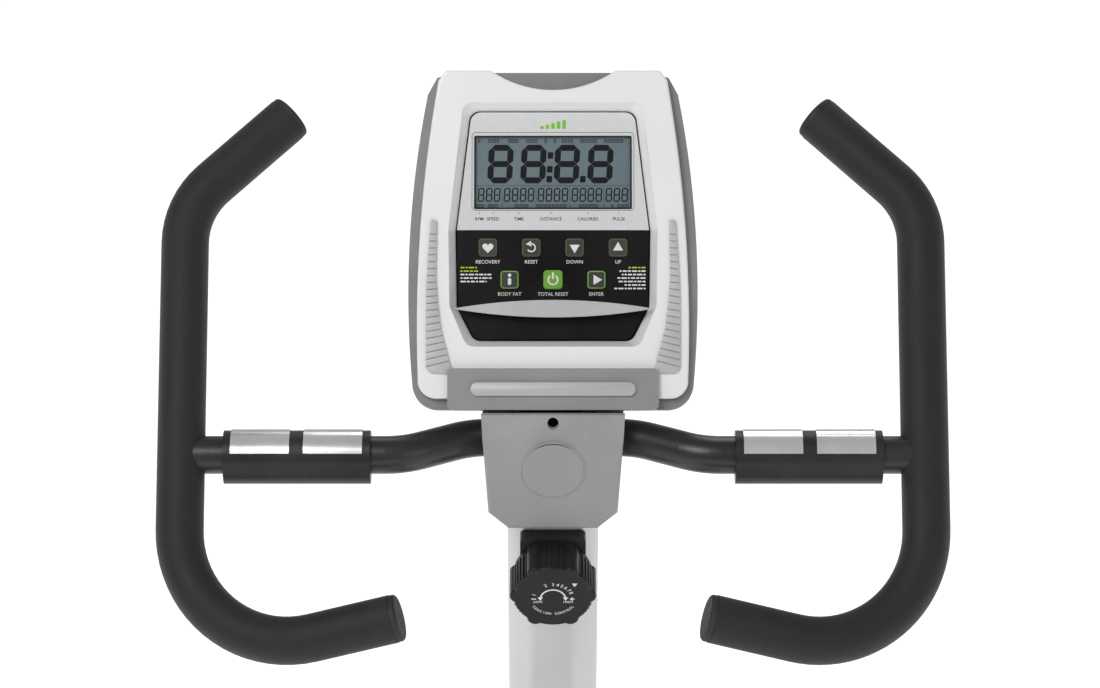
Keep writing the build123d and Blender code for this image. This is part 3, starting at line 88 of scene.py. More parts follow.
def facePlace(x, rise, proud=0.0):
    # x and rise in millimetres on the console's front, from the middle of its foot
    spot = crossing(faceOut, faceUp, x * mm, faceFoot + rise * mm, faceTop + proud)
    return facing(faceOut, faceUp, spot)


overlayTop = reach("console_overlay", faceOut) - faceTop
glassTop = reach("console_lcd", faceOut) - faceTop
print("places worked out")


# Small tools that several pieces use.
def only(piece):
    if bpy.context.object and bpy.context.object.mode != "OBJECT":
        bpy.ops.object.mode_set(mode="OBJECT")
    bpy.ops.object.select_all(action="DESELECT")
    piece.select_set(True)
    bpy.context.view_layer.objects.active = piece


def freshStart():
    if bpy.context.object and bpy.context.object.mode != "OBJECT":
        bpy.ops.object.mode_set(mode="OBJECT")
    bpy.ops.object.select_all(action="DESELECT")


def settle(piece, place=None):
    # the place goes into the mesh, so that the object stays at the origin
    only(piece)
    if place is not None:
        piece.matrix_world = place @ piece.matrix_basis
    bpy.ops.object.transform_apply(location=True, rotation=True, scale=True)
    return piece


def copyOf(piece, place=None):
    twin = piece.copy()
    twin.data = piece.data.copy()
    bpy.context.scene.collection.objects.link(twin)
    if place is not None:
        twin.data.transform(place)
    return twin


def joined(pieces, name):
    only(pieces[0])
    for piece in pieces:
        piece.select_set(True)
    if len(pieces) > 1:
        bpy.ops.object.join()
    whole = bpy.context.object
    whole.name = name
    whole.data.name = name
    return whole


def throwAway(piece):
    bpy.data.objects.remove(piece, do_unlink=True)


def choose(piece, edges=None, faces=None, points=None):
    # leaves the piece in edit mode with what passes the test selected
    only(piece)
    bpy.ops.object.mode_set(mode="EDIT")
    kind = "EDGE" if edges else "FACE" if faces else "VERT"
    bpy.ops.mesh.select_mode(type=kind)
    bpy.ops.mesh.select_all(action="DESELECT")
    net = bmesh.from_edit_mesh(piece.data)
    for item in net.edges if edges else net.faces if faces else net.verts:
        if (edges or faces or points)(item):
            item.select_set(True)
    net.select_flush_mode()
    bmesh.update_edit_mesh(piece.data)


def outwards(piece):
    # doubles merged and every face turned outwards
    only(piece)
    bpy.ops.object.mode_set(mode="EDIT")
    bpy.ops.mesh.select_all(action="SELECT")
    bpy.ops.mesh.remove_doubles(threshold=0.000002)
    bpy.ops.mesh.normals_make_consistent(inside=False)
    bpy.ops.object.mode_set(mode="OBJECT")
    return piece


def smoothed(piece, degrees=35):
    only(piece)
    bpy.ops.object.shade_smooth_by_angle(angle=math.radians(degrees))
    return piece


def withModifier(piece, kind, **values):
    only(piece)
    bpy.ops.object.modifier_add(type=kind)
    added = piece.modifiers[-1]
    for key, value in values.items():
        setattr(added, key, value)
    bpy.ops.object.modifier_apply(modifier=added.name)
    return piece


def flatOutline(points):
    # a flat shape in millimetres on z = 0, left in edit mode with all of it selected
    freshStart()
    bpy.ops.mesh.primitive_circle_add(vertices=len(points), radius=1, fill_type="NGON")
    shape = bpy.context.object
    for corner, (x, y) in zip(shape.data.vertices, points):
        corner.co = (x * mm, y * mm, 0)
    bpy.ops.object.mode_set(mode="EDIT")
    bpy.ops.mesh.select_all(action="SELECT")
    return shape


def cutShape(points, thickness):
    # a flat shape cut from sheet that stands on z = 0
    shape = flatOutline(points)
    bpy.ops.mesh.extrude_region_move(TRANSFORM_OT_translate={"value": (0, 0, thickness)})
    bpy.ops.object.mode_set(mode="OBJECT")
    return outwards(shape)


def cutFrame(points, width, thickness):
    # the outline of a shape as a line of one width
    shape = flatOutline(points)
    bpy.ops.mesh.inset(thickness=width, depth=0)
    bpy.ops.mesh.delete(type="FACE")
    bpy.ops.mesh.select_all(action="SELECT")
    bpy.ops.mesh.extrude_region_move(TRANSFORM_OT_translate={"value": (0, 0, thickness)})
    bpy.ops.object.mode_set(mode="OBJECT")
    return outwards(shape)


def roundedPoints(width, height, corner, steps=5):
    # a rectangle with round corners about the middle, anticlockwise
    points = []
    for quarter, (sideX, sideY) in enumerate(((1, 1), (-1, 1), (-1, -1), (1, -1))):
        for step in range(steps + 1):
            angle = fullTurn / 4 * (quarter + step / steps)
            x = sideX * (width / 2 - corner) + corner * math.cos(angle)
            y = sideY * (height / 2 - corner) + corner * math.sin(angle)
            points.append((x, y))
    return points


def onRing(radius, degrees):
    return radius * math.cos(math.radians(degrees)), radius * math.sin(math.radians(degrees))


def arcPoints(radius, start, end, steps):
    return [onRing(radius, start + (end - start) * step / steps) for step in range(steps + 1)]


def lettering(words, height, place, thickness=0.00008, weight=0.0):
    # plain block letters, set about the middle of their place
    freshStart()
    bpy.ops.object.text_add()
    text = bpy.context.object
    text.data.body = words
    text.data.size = height * mm * 1.4
    text.data.align_x = "CENTER"
    text.data.align_y = "CENTER"
    text.data.extrude = thickness / 2
    text.data.offset = weight * mm
    text.data.resolution_u = 3
    bpy.ops.object.convert(target="MESH")
    return settle(bpy.context.object, place)


# Finishes: shared effects first, then one function for each material.
def newGroup(name, inputs, outputs):
    group = bpy.data.node_groups.new(name, "ShaderNodeTree")
    for label, kind, value in inputs:
        socket = group.interface.new_socket(name=label, in_out="INPUT", socket_type=kind)
        socket.default_value = value
    for label, kind in outputs:
        group.interface.new_socket(name=label, in_out="OUTPUT", socket_type=kind)
    entry = group.nodes.new("NodeGroupInput")
    leave = group.nodes.new("NodeGroupOutput")
    return group, entry, leave


def mouldGrainGroup():
    # fine moulded texture: a small noise over a smaller one
    group, entry, leave = newGroup(
        "mouldGrain",
        [("Scale", "NodeSocketFloat", 900.0), ("Depth", "NodeSocketFloat", 0.3)],
        [("Normal", "NodeSocketVector"), ("Height", "NodeSocketFloat")],
    )
    make, link = group.nodes.new, group.links.new
    where = make("ShaderNodeTexCoord")
    coarse = make("ShaderNodeTexNoise")
    coarse.inputs["Detail"].default_value = 5
    fine = make("ShaderNodeTexVoronoi")
    fine.feature = "SMOOTH_F1"
    blend = make("ShaderNodeMath")
    blend.operation = "MULTIPLY_ADD"
    blend.inputs[1].default_value = 0.6
    bump = make("ShaderNodeBump")
    bump.inputs["Distance"].default_value = 0.0004
    link(where.outputs["Object"], coarse.inputs["Vector"])
    link(where.outputs["Object"], fine.inputs["Vector"])
    link(entry.outputs["Scale"], coarse.inputs["Scale"])
    link(entry.outputs["Scale"], fine.inputs["Scale"])
    link(fine.outputs["Distance"], blend.inputs[0])
    link(coarse.outputs["Fac"], blend.inputs[2])
    link(blend.outputs["Value"], bump.inputs["Height"])
    link(entry.outputs["Depth"], bump.inputs["Strength"])
    link(bump.outputs["Normal"], leave.inputs["Normal"])
    link(blend.outputs["Value"], leave.inputs["Height"])
    return group


def handlingWearGroup():
    # Smudge: slow variation over the surface. Edge: where a corner is rubbed.
    group, entry, leave = newGroup(
        "handlingWear",
        [("Scale", "NodeSocketFloat", 14.0), ("Edge", "NodeSocketFloat", 0.5)],
        [("Smudge", "NodeSocketFloat"), ("Worn", "NodeSocketFloat")],
    )
    make, link = group.nodes.new, group.links.new
    where = make("ShaderNodeTexCoord")
    cloud = make("ShaderNodeTexNoise")
    cloud.inputs["Detail"].default_value = 6
    cloud.inputs["Roughness"].default_value = 0.65
    spread = make("ShaderNodeMapRange")
    spread.inputs["From Min"].default_value = 0.35
    spread.inputs["From Max"].default_value = 0.7
    shape = make("ShaderNodeNewGeometry")
    corner = make("ShaderNodeMapRange")
    corner.inputs["From Min"].default_value = 0.53
    corner.inputs["From Max"].default_value = 0.62
    breakUp = make("ShaderNodeMath")
    breakUp.operation = "MULTIPLY"
    amount = make("ShaderNodeMath")
    amount.operation = "MULTIPLY"
    link(where.outputs["Object"], cloud.inputs["Vector"])
    link(entry.outputs["Scale"], cloud.inputs["Scale"])
    link(cloud.outputs["Fac"], spread.inputs["Value"])
    link(shape.outputs["Pointiness"], corner.inputs["Value"])
    link(corner.outputs["Result"], breakUp.inputs[0])
    link(spread.outputs["Result"], breakUp.inputs[1])
    link(breakUp.outputs["Value"], amount.inputs[0])
    link(entry.outputs["Edge"], amount.inputs[1])
    link(spread.outputs["Result"], leave.inputs["Smudge"])
    link(amount.outputs["Value"], leave.inputs["Worn"])
    return group


def brushedLinesGroup():
    # fine lines drawn along X by a brush or a lathe
    group, entry, leave = newGroup(
        "brushedLines",
        [("Scale", "NodeSocketFloat", 900.0), ("Depth", "NodeSocketFloat", 0.2)],
        [("Normal", "NodeSocketVector"), ("Lines", "NodeSocketFloat")],
    )
    make, link = group.nodes.new, group.links.new
    where = make("ShaderNodeTexCoord")
    stretch = make("ShaderNodeMapping")
    stretch.inputs["Scale"].default_value = (0.04, 1, 1)
    lines = make("ShaderNodeTexNoise")
    lines.inputs["Detail"].default_value = 3
    bump = make("ShaderNodeBump")
    bump.inputs["Distance"].default_value = 0.0002
    link(where.outputs["Object"], stretch.inputs["Vector"])
    link(stretch.outputs["Vector"], lines.inputs["Vector"])
    link(entry.outputs["Scale"], lines.inputs["Scale"])
    link(lines.outputs["Fac"], bump.inputs["Height"])
    link(entry.outputs["Depth"], bump.inputs["Strength"])
    link(bump.outputs["Normal"], leave.inputs["Normal"])
    link(lines.outputs["Fac"], leave.inputs["Lines"])
    return group


groups = {
    "grain": mouldGrainGroup(),
    "wear": handlingWearGroup(),
    "brush": brushedLinesGroup(),
}


def newMaterial(name):
    material = bpy.data.materials.new(name)
    material.use_nodes = True
    shader = material.node_tree.nodes["Principled BSDF"]
    return material, material.node_tree.nodes.new, material.node_tree.links.new, shader


def placed(make, group, **values):
    node = make("ShaderNodeGroup")
    node.node_tree = groups[group]
    for label, value in values.items():
        node.inputs[label].default_value = value
    return node


def shades(make, dark, light):
    mix = make("ShaderNodeMix")
    mix.data_type = "RGBA"
    mix.inputs["A"].default_value = (*dark, 1)
    mix.inputs["B"].default_value = (*light, 1)
    return mix


def grey(level, warmth=0.0):
    return (level * (1 + warmth), level, level * (1 - warmth))


def surface(name, colour, rough, grain=900, depth=0.15, smudge=0.06, edge=0.4, worn=None, pattern="grain",
            wearScale=14, **sockets):
    # a finish whose colour, gloss and relief all change a little over the piece
    material, make, link, shader = newMaterial(name)
    relief = placed(make, pattern, Scale=grain, Depth=depth)
    wear = placed(make, "wear", Scale=wearScale, Edge=edge)
    tone = shades(make, [c * (1 - smudge) for c in colour], [min(1, c * (1 + smudge)) for c in colour])
    rubbed = shades(make, colour, worn or [min(1, c * 1.5 + 0.02) for c in colour])
    gloss = make("ShaderNodeMapRange")
    gloss.inputs["To Min"].default_value = max(0.02, rough - 0.05)
    gloss.inputs["To Max"].default_value = min(1, rough + 0.07)
    link(wear.outputs["Smudge"], tone.inputs["Factor"])
    link(tone.outputs["Result"], rubbed.inputs["A"])
    link(wear.outputs["Worn"], rubbed.inputs["Factor"])
    link(rubbed.outputs["Result"], shader.inputs["Base Color"])
    link(wear.outputs["Smudge"], gloss.inputs["Value"])
    link(gloss.outputs["Result"], shader.inputs["Roughness"])
    link(relief.outputs["Normal"], shader.inputs["Normal"])
    for label, value in sockets.items():
        shader.inputs[label.replace("_", " ")].default_value = value
    return material


def glossWhitePlastic():
    return surface("glossWhitePlastic", grey(0.93, -0.003), 0.2, grain=500, depth=0.02, smudge=0.012,
                   edge=0.1, Coat_Weight=0.35, Coat_Roughness=0.08)


def greyShellPlastic():
    return surface("greyShellPlastic", grey(0.235, -0.01), 0.42, grain=1500, depth=0.16, smudge=0.05,
                   edge=0.35)


def neckPlastic():
    return surface("neckPlastic", grey(0.33, -0.006), 0.4, grain=1500, depth=0.14, smudge=0.04, edge=0.3)


def lipPlastic():
    return surface("lipPlastic", grey(0.3, -0.01), 0.36, grain=1300, depth=0.1, smudge=0.04, edge=0.3)


# pale grey for the page bar; on the lip's raised bar the same lighter grey is painted highlight, standing for the
# light on its raised face
def paleBarAndPaintedLipHighlight():
    return surface("paleBarAndPaintedLipHighlight", grey(0.5, -0.006), 0.3, grain=1300, depth=0.06, smudge=0.03, edge=0.2)


def trimPlastic():
    return surface("trimPlastic", grey(0.52, -0.004), 0.4, grain=1600, depth=0.12, smudge=0.03, edge=0.3)


def shroudPlastic():
    return surface("shroudPlastic", grey(0.4, -0.01), 0.38, grain=1100, depth=0.2, smudge=0.05, edge=0.35)


def blackPlastic():
    return surface("blackPlastic", grey(0.013), 0.4, grain=1300, depth=0.2, smudge=0.15, edge=0.5,
                   worn=grey(0.045), Specular_IOR_Level=0.4)


def knobPlastic():
    return surface("knobPlastic", grey(0.009), 0.36, grain=1500, depth=0.16, smudge=0.15, edge=0.6,
                   worn=grey(0.04), Specular_IOR_Level=0.35)


def keyPlastic():
    return surface("keyPlastic", (0.03, 0.034, 0.026), 0.35, grain=1800, depth=0.08, smudge=0.1, edge=0.5)


def greenKeyPlastic():
    return surface("greenKeyPlastic", (0.16, 0.42, 0.03), 0.32, grain=1800, depth=0.06, smudge=0.08, edge=0.4)


def mouldedRubber():
    return surface("mouldedRubber", grey(0.022), 0.62, grain=1100, depth=0.3, smudge=0.2, edge=0.5,
                   worn=grey(0.07))


def beltRubber():
    return surface("beltRubber", grey(0.016), 0.55, grain=1600, depth=0.35, smudge=0.2, edge=0.4)


def extraRelief(material, pattern, reach, strength):
    # one more layer of bumps over the finish's own
    make, link = material.node_tree.nodes.new, material.node_tree.links.new
    shader = material.node_tree.nodes["Principled BSDF"]
    where = make("ShaderNodeTexCoord")
    cells = make("ShaderNodeTexVoronoi")
    cells.feature = pattern[0]
    cells.inputs["Scale"].default_value = pattern[1]
    hollow = make("ShaderNodeMapRange")
    hollow.inputs["From Max"].default_value = reach
    bump = make("ShaderNodeBump")
    bump.inputs["Strength"].default_value = strength
    bump.inputs["Distance"].default_value = 0.0003
    below = shader.inputs["Normal"].links[0].from_socket
    link(where.outputs["Object"], cells.inputs["Vector"])
    link(cells.outputs["Distance"], hollow.inputs["Value"])
    link(hollow.outputs["Result"], bump.inputs["Height"])
    link(below, bump.inputs["Normal"])
    link(bump.outputs["Normal"], shader.inputs["Normal"])
    return material


def gripFoam():
    # closed-cell foam: a skin of small open pores over a soft, uneven tube
    material = surface("gripFoam", grey(0.019), 0.62, grain=650, depth=0.3, smudge=0.16, edge=0.25,
                       worn=grey(0.045), wearScale=22, Specular_IOR_Level=0.35, Sheen_Weight=0.08,
                       Sheen_Roughness=0.5)
    return extraRelief(material, ("F1", 520), 0.28, 0.35)


def saddleVinyl():
    # embossed vinyl: pebbles of uneven size with creases between them
    material = surface("saddleVinyl", grey(0.026), 0.5, grain=380, depth=0.4, smudge=0.14, edge=0.2,
                       worn=grey(0.05), wearScale=18)
    return extraRelief(material, ("DISTANCE_TO_EDGE", 620), 0.12, 0.4)


def silverPaint():
    return surface("silverPaint", grey(0.5, -0.008), 0.34, grain=420, depth=0.06, smudge=0.04, edge=0.2,
                   worn=grey(0.4), Metallic=0.55, Coat_Weight=0.3, Coat_Roughness=0.2)


def mastPaint():
    return surface("mastPaint", grey(0.64, -0.006), 0.38, grain=420, depth=0.008, smudge=0.03, edge=0.0,
                   Metallic=0.25)


def blackPaint():
    return surface("blackPaint", grey(0.022), 0.33, grain=700, depth=0.14, smudge=0.15, edge=0.6,
                   worn=grey(0.12))


def brushedSteel():
    return surface("brushedSteel", grey(0.6, 0.01), 0.3, grain=1500, depth=0.25, smudge=0.08, edge=0.4,
                   pattern="brush", Metallic=1.0)


def polishedSteel():
    return surface("polishedSteel", grey(0.5, 0.006), 0.16, grain=1500, depth=0.04, smudge=0.04, edge=0.2,
                   pattern="brush", Metallic=1.0)


def platePlating():
    # the bright plates that the palms touch
    return surface("platePlating", grey(0.88), 0.22, grain=1400, depth=0.06, smudge=0.03, edge=0.2,
                   pattern="brush", Metallic=0.75)


def zincSteel():
    return surface("zincSteel", (0.52, 0.51, 0.47), 0.36, grain=600, depth=0.2, smudge=0.12, edge=0.4,
                   worn=(0.3, 0.27, 0.22), Metallic=1.0)


def castIron():
    return surface("castIron", grey(0.16, 0.02), 0.42, grain=350, depth=0.35, smudge=0.18, edge=0.4,
                   worn=(0.13, 0.09, 0.07), Metallic=0.9)


def magnetNickel():
    return surface("magnetNickel", grey(0.42, 0.02), 0.25, grain=900, depth=0.08, smudge=0.1, edge=0.3,
                   Metallic=1.0)


def greenBoard():
    return surface("greenBoard", (0.02, 0.12, 0.04), 0.35, grain=260, depth=0.3, smudge=0.25, edge=0.3,
                   wearScale=160)


def ink(name, colour):
    # screen-printed ink, a little uneven
    return surface(name, colour, 0.5, grain=2500, depth=0.08, smudge=0.06, edge=0.1, wearScale=300,
                   Specular_IOR_Level=0.15)


def printedFace():
    # the faceplate: black below the display's labels, brushed silver above them
    material = surface("printedFace", grey(0.004), 0.3, grain=2200, depth=0.03, smudge=0.2, edge=0.1,
                       Specular_IOR_Level=0.18)
    make, link = material.node_tree.nodes.new, material.node_tree.links.new
    shader = material.node_tree.nodes["Principled BSDF"]
    where = make("ShaderNodeTexCoord")
    rise = make("ShaderNodeVectorMath")
    rise.operation = "DOT_PRODUCT"
    rise.inputs[1].default_value = faceUp
    above = make("ShaderNodeMapRange")
    above.inputs["From Min"].default_value = faceFoot + 136.5 * mm
    above.inputs["From Max"].default_value = faceFoot + 136.7 * mm
    cloud = make("ShaderNodeTexNoise")
    cloud.inputs["Scale"].default_value = 240
    silver = shades(make, grey(0.66, -0.006), grey(0.74, -0.006))
    both = make("ShaderNodeMix")
    both.data_type = "RGBA"
    below = shader.inputs["Base Color"].links[0].from_socket
    link(where.outputs["Object"], rise.inputs[0])
    link(rise.outputs["Value"], above.inputs["Value"])
    link(where.outputs["Object"], cloud.inputs["Vector"])
    link(cloud.outputs["Fac"], silver.inputs["Factor"])
    link(above.outputs["Result"], both.inputs["Factor"])
    link(below, both.inputs["A"])
    link(silver.outputs["Result"], both.inputs["B"])
    link(both.outputs["Result"], shader.inputs["Base Color"])
    return material


def displayGlass():
    # the display's grey-blue field, its tone varying a little at random
    return surface("displayGlass", (0.155, 0.205, 0.225), 0.2, grain=3000, depth=0.02, smudge=0.06, edge=0.0,
                   wearScale=9, Specular_IOR_Level=0.25)


finishes = {
    "frame_paint": silverPaint(), "mast_paint": mastPaint(), "black_steel": blackPaint(),
    "bright_steel": brushedSteel(), "chrome_steel": polishedSteel(), "cast_iron": castIron(),
    "zinc_steel": zincSteel(), "magnet": magnetNickel(), "shroud_plastic": shroudPlastic(),
    "grey_plastic": greyShellPlastic(), "lip_plastic": lipPlastic(), "trim_plastic": trimPlastic(),
    "white_plastic": glossWhitePlastic(), "black_plastic": blackPlastic(), "overlay_print": printedFace(),
    "lcd_glass": displayGlass(), "board": greenBoard(), "button_plastic": keyPlastic(),
    "green_button": greenKeyPlastic(), "foam": gripFoam(), "rubber": mouldedRubber(),
    "belt_rubber": beltRubber(), "saddle_cover": saddleVinyl(),
}
special = {
    "neck_cover_front": neckPlastic(), "neck_cover_rear": neckPlastic(), "tension_knob": knobPlastic(),
    "console_page_bar": paleBarAndPaintedLipHighlight(), "pulse_plates": platePlating(),
}
inks = {
    "white": ink("whiteInk", grey(0.8)),
    "dark": ink("darkInk", grey(0.008)),
    "segment": ink("segmentInk", (0.006, 0.008, 0.01)),
    "green": ink("greenInk", (0.2, 0.55, 0.04)),
    "olive": ink("oliveInk", (0.09, 0.13, 0.03)),
    "lime": ink("limeInk", (0.42, 0.55, 0.03)),
}
slotOf = {part["node"]: part["material_slot"] for part in frame["record"]["subparts"]}


def dress(piece, material):
    if piece.material_slots:
        for slot in piece.material_slots:
            slot.material = material
    else:
        piece.data.materials.append(material)


for name, node in nodes.items():
    dress(node, special.get(name) or finishes[slotOf[name]])
print("finishes on", len(nodes), "nodes")


def finishPiece(piece, material, body):
    dress(piece, material)
    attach(piece, body)
    return piece


# The display's figures, all bars lit.
display = {
    "digitHeight": 29.5, "digitWidth": 19.0, "digitStroke": 4.6, "digitRise": 187.4,
    "digitMiddles": (-39.8, -14.8, 10.6, 36.0), "dotMiddles": (-2.2, 23.2), "slant": 0.05,
    "smallHeight": 10.6, "smallWidth": 4.9, "smallStroke": 1.0, "smallRise": 163.8,
    "smallGroups": (3, 4, 4, 4, 3), "smallPitch": 6.05, "groupGap": 1.5,
    "headWords": ((-56, 3), (-45, 9), (-30, 8), (-16, 9), (-5.5, 3), (1.5, 3), (11, 9), (27, 13), (46, 15)),
    "footWords": ((-55, 6), (-45.5, 8), (-24, 11), (-1, 23), (27, 15), (45, 3), (53, 9)),
    "headRise": 205.2, "footRise": 155.2, "wordHeight": 2.9,
    "thickness": 0.00008, "segmentGap": 0.35,
    "surround": (119.4, 56.1, 1.2), "surroundLine": 1.1, "surroundProud": 0.35, "surroundRise": 180.65,
}


def segment(length, stroke):
    half, tip = length / 2, stroke / 2
    inner = half - tip
    return [(-half, 0), (-inner, -tip), (inner, -tip), (half, 0), (inner, tip), (-inner, tip)]


def digitEight(width, height, stroke, gap, thickness):
    # the seven bars of one digit, all lit
    quarter = (height - stroke) / 4
    across = cutShape(segment(width - stroke - gap, stroke), thickness)
    along = cutShape(segment((height - stroke) / 2 - gap, stroke), thickness)
    bars = []
    for rise in (-2 * quarter, 0, 2 * quarter):
        bars.append(copyOf(across, Matrix.Translation((0, rise * mm, 0))))
    for side in (-1, 1):
        for rise in (-quarter, quarter):
            spot = Matrix.Translation((side * (width - stroke) / 2 * mm, rise * mm, 0))
            bars.append(copyOf(along, spot @ Matrix.Rotation(fullTurn / 4, 4, "Z")))
    throwAway(across)
    throwAway(along)
    return joined(bars, "digit")


def slanted(x, rise):
    lean = Matrix.Identity(4)
    lean[0][1] = display["slant"]
    return facePlace(x, rise, glassTop) @ lean


def lcdFigures():
    thick, gap = display["thickness"], display["segmentGap"]
    parts = []
    big = digitEight(display["digitWidth"], display["digitHeight"], display["digitStroke"], gap, thick)
    for x in display["digitMiddles"]:
        parts.append(copyOf(big, slanted(x, display["digitRise"])))
    throwAway(big)
    dot = cutShape(roundedPoints(4.2, 5.0, 0.6, 2), thick)
    for x, rises in zip(display["dotMiddles"], ((-11.6, -4.0, 6.6), (-11.6,))):
        for rise in rises:
            parts.append(copyOf(dot, slanted(x + rise * display["slant"], display["digitRise"] + rise)))
    throwAway(dot)
    small = digitEight(display["smallWidth"], display["smallHeight"], display["smallStroke"], 0.12, thick)
    divider = cutShape(roundedPoints(0.25, 16.5, 0.1, 1), thick)
    count = sum(display["smallGroups"])
    span = count * display["smallPitch"] + (len(display["smallGroups"]) - 1) * display["groupGap"]
    x = -span / 2
    for group, size in enumerate(display["smallGroups"]):
        for _ in range(size):
            parts.append(copyOf(small, slanted(x + display["smallPitch"] / 2, display["smallRise"])))
            x += display["smallPitch"]
        if group < len(display["smallGroups"]) - 1:
            place = facePlace(x + display["groupGap"] / 2, display["smallRise"] - 2, glassTop)
            parts.append(copyOf(divider, place))
        x += display["groupGap"]
    throwAway(small)
    throwAway(divider)
    rule = cutShape(roundedPoints(117, 0.25, 0.1, 1), thick)
    parts.append(settle(rule, facePlace(0, 170.8, glassTop)))
    # the word strips are rows of plain blocks
    for row in ("head", "foot"):
        words, rise = display[row + "Words"], display[row + "Rise"]
        for x, width in words:
            letters = max(1, round(width / 2.1))
            for letter in range(letters):
                left = x - width / 2 + (letter + 0.5) * width / letters
                block = cutFrame(roundedPoints(1.6, display["wordHeight"], 0.3, 1), 0.42 * mm, thick)
                parts.append(settle(block, facePlace(left, rise, glassTop)))
    return joined(parts, "lcdFigures")


finishPiece(lcdFigures(), inks["segment"], "frame")

surroundPoints = roundedPoints(*display["surround"])
surround = cutFrame(surroundPoints, display["surroundLine"] * mm, display["surroundProud"] * mm)
settle(surround, facePlace(0, display["surroundRise"], overlayTop - 0.05 * mm))
surround.name = "displaySurround"
finishPiece(surround, inks["dark"], "frame")
print("display made")


# Printing on the faceplate.
labels = {
    "readings": (("RPM", -55.8), ("SPEED", -45.3), ("TIME", -25.7), ("DISTANCE", -1.5), ("CALORIES", 26.4),
                 ("PULSE", 49.8)),
    "readingRise": 145.0, "readingHeight": 2.5, "dotRise": 149.6, "dotRadius": 0.7,
    "keyHeight": 2.7, "keyDrop": 10.9, "weight": 0.02,
    "markRise": 217.5, "markBars": (2.0, 3.2, 4.4, 5.6, 6.8), "markWidth": 2.6, "markPitch": 4.2,
    "frame": (123, 60, 3), "frameLine": 0.3, "frameRise": 181.5,
}
printed = overlayTop + 0.02 * mm


def readingLabels():
    parts = []
    for words, x in labels["readings"]:
        place = facePlace(x, labels["readingRise"], printed)
        parts.append(lettering(words, labels["readingHeight"], place, weight=labels["weight"]))
    border = cutFrame(roundedPoints(*labels["frame"]), labels["frameLine"] * mm, 0.06 * mm)
    parts.append(settle(border, facePlace(0, labels["frameRise"], printed)))
    return joined(parts, "readingLabels")


def readingDots():
    parts = []
    for _, x in labels["readings"]:
        dot = cutShape(arcPoints(labels["dotRadius"], 0, 330, 11), 0.1 * mm)
        parts.append(settle(dot, facePlace(x, labels["dotRise"], printed)))
    return joined(parts, "readingDots")


def risingBars():
    # a plain mark: five bars that climb to the right
    parts = []
    for step, height in enumerate(labels["markBars"]):
        bar = cutShape(roundedPoints(labels["markWidth"], height, 0.6, 2), 0.1 * mm)
        x = labels["markPitch"] * (step - (len(labels["markBars"]) - 1) / 2)
        rise = labels["markRise"] + (height - labels["markBars"][-1]) / 2
        parts.append(settle(bar, facePlace(x, rise, printed)))
    return joined(parts, "risingBars")


finishPiece(readingLabels(), inks["dark"], "frame")
finishPiece(readingDots(), inks["lime"], "frame")
finishPiece(risingBars(), inks["green"], "frame")

notes = {
    "leftEdge": -70.0, "leftTitles": (12.5, 13.5), "leftLines": (23.5, 24.0, 20.0), "leftRise": 108.0,
    "rightEdge": 70.0, "rightTitles": (13.0,), "rightLines": (20, 18, 22, 21, 16, 24), "rightRise": 108.0,
    "pitch": 2.65, "height": 1.15,
}


def noteLines(name, edge, lengths, top, side):
    # lines of small print shown only as broken dashes
    parts = []
    for row, length in enumerate(lengths):
        x, dash = 0.0, 0
        while x < length:
            size = min((3.2, 1.7, 4.1, 2.4)[(row + dash) % 4], length - x)
            middleX = edge + side * (x + size / 2)
            line = cutShape(roundedPoints(size, notes["height"], 0.3, 1), 0.06 * mm)
            parts.append(settle(line, facePlace(middleX, top - row * notes["pitch"], printed)))
            x += size + 0.7
            dash += 1
    return joined(parts, name)


for name, side in (("left", 1), ("right", -1)):
    edge, rise = notes[name + "Edge"], notes[name + "Rise"]
    titles = noteLines(name + "NoteTitles", edge, notes[name + "Titles"], rise, side)
    rise -= notes["pitch"] * len(notes[name + "Titles"])
    lines = noteLines(name + "NoteLines", edge, notes[name + "Lines"], rise, side)
    finishPiece(titles, inks["lime"], "frame")
    finishPiece(lines, inks["white"], "frame")
print("faceplate printed")


# Key symbols, rims and names.
keys = {
    "button_recovery": ("heart", "RECOVERY", "olive"), "button_reset": ("turnBack", "RESET", "olive"),
    "button_down": ("downward", "DOWN", "olive"), "button_up": ("upward", "UP", "olive"),
    "button_body_fat": ("figure", "BODY FAT", "green"), "button_total_reset": ("power", "TOTAL RESET", None),
    "button_enter": ("onward", "ENTER", "green"),
}


def heartPoints(size):
    points = []
    for step in range(28):
        t = fullTurn * step / 28
        x = 16 * math.sin(t) ** 3
        y = 13 * math.cos(t) - 5 * math.cos(2 * t) - 2 * math.cos(3 * t) - math.cos(4 * t)
        points.append((-x * size / 32, y * size / 32))
    return points


def trianglePoints(size, angle):
    turns = [math.radians(angle + third * 120) for third in range(3)]
    return [(size * math.cos(turn), size * math.sin(turn)) for turn in turns]


def symbolOutlines(kind):
    if kind == "heart":
        return [heartPoints(8.4)]
    if kind in ("downward", "upward", "onward"):
        return [trianglePoints(4.4, {"downward": -90, "upward": 90, "onward": 0}[kind])]
    if kind == "turnBack":
        ring = arcPoints(3.5, -150, 115, 20) + arcPoints(2.5, 115, -150, 20)
        tip = [(-0.2, 5.2), (-4.2, 2.6), (0.3, 0.9)]
        return [ring, tip]
    if kind == "power":
        ring = arcPoints(4.2, -235, 55, 24) + arcPoints(3.0, 55, -235, 24)
        return [ring, [(x, y + 3.1) for x, y in roundedPoints(1.3, 5.2, 0.6, 3)]]
    body = [(x, y - 1.3) for x, y in roundedPoints(2.6, 5.4, 1.2, 4)]
    return [[(x, y + 3.5) for x, y in arcPoints(1.35, 0, 330, 11)], body]


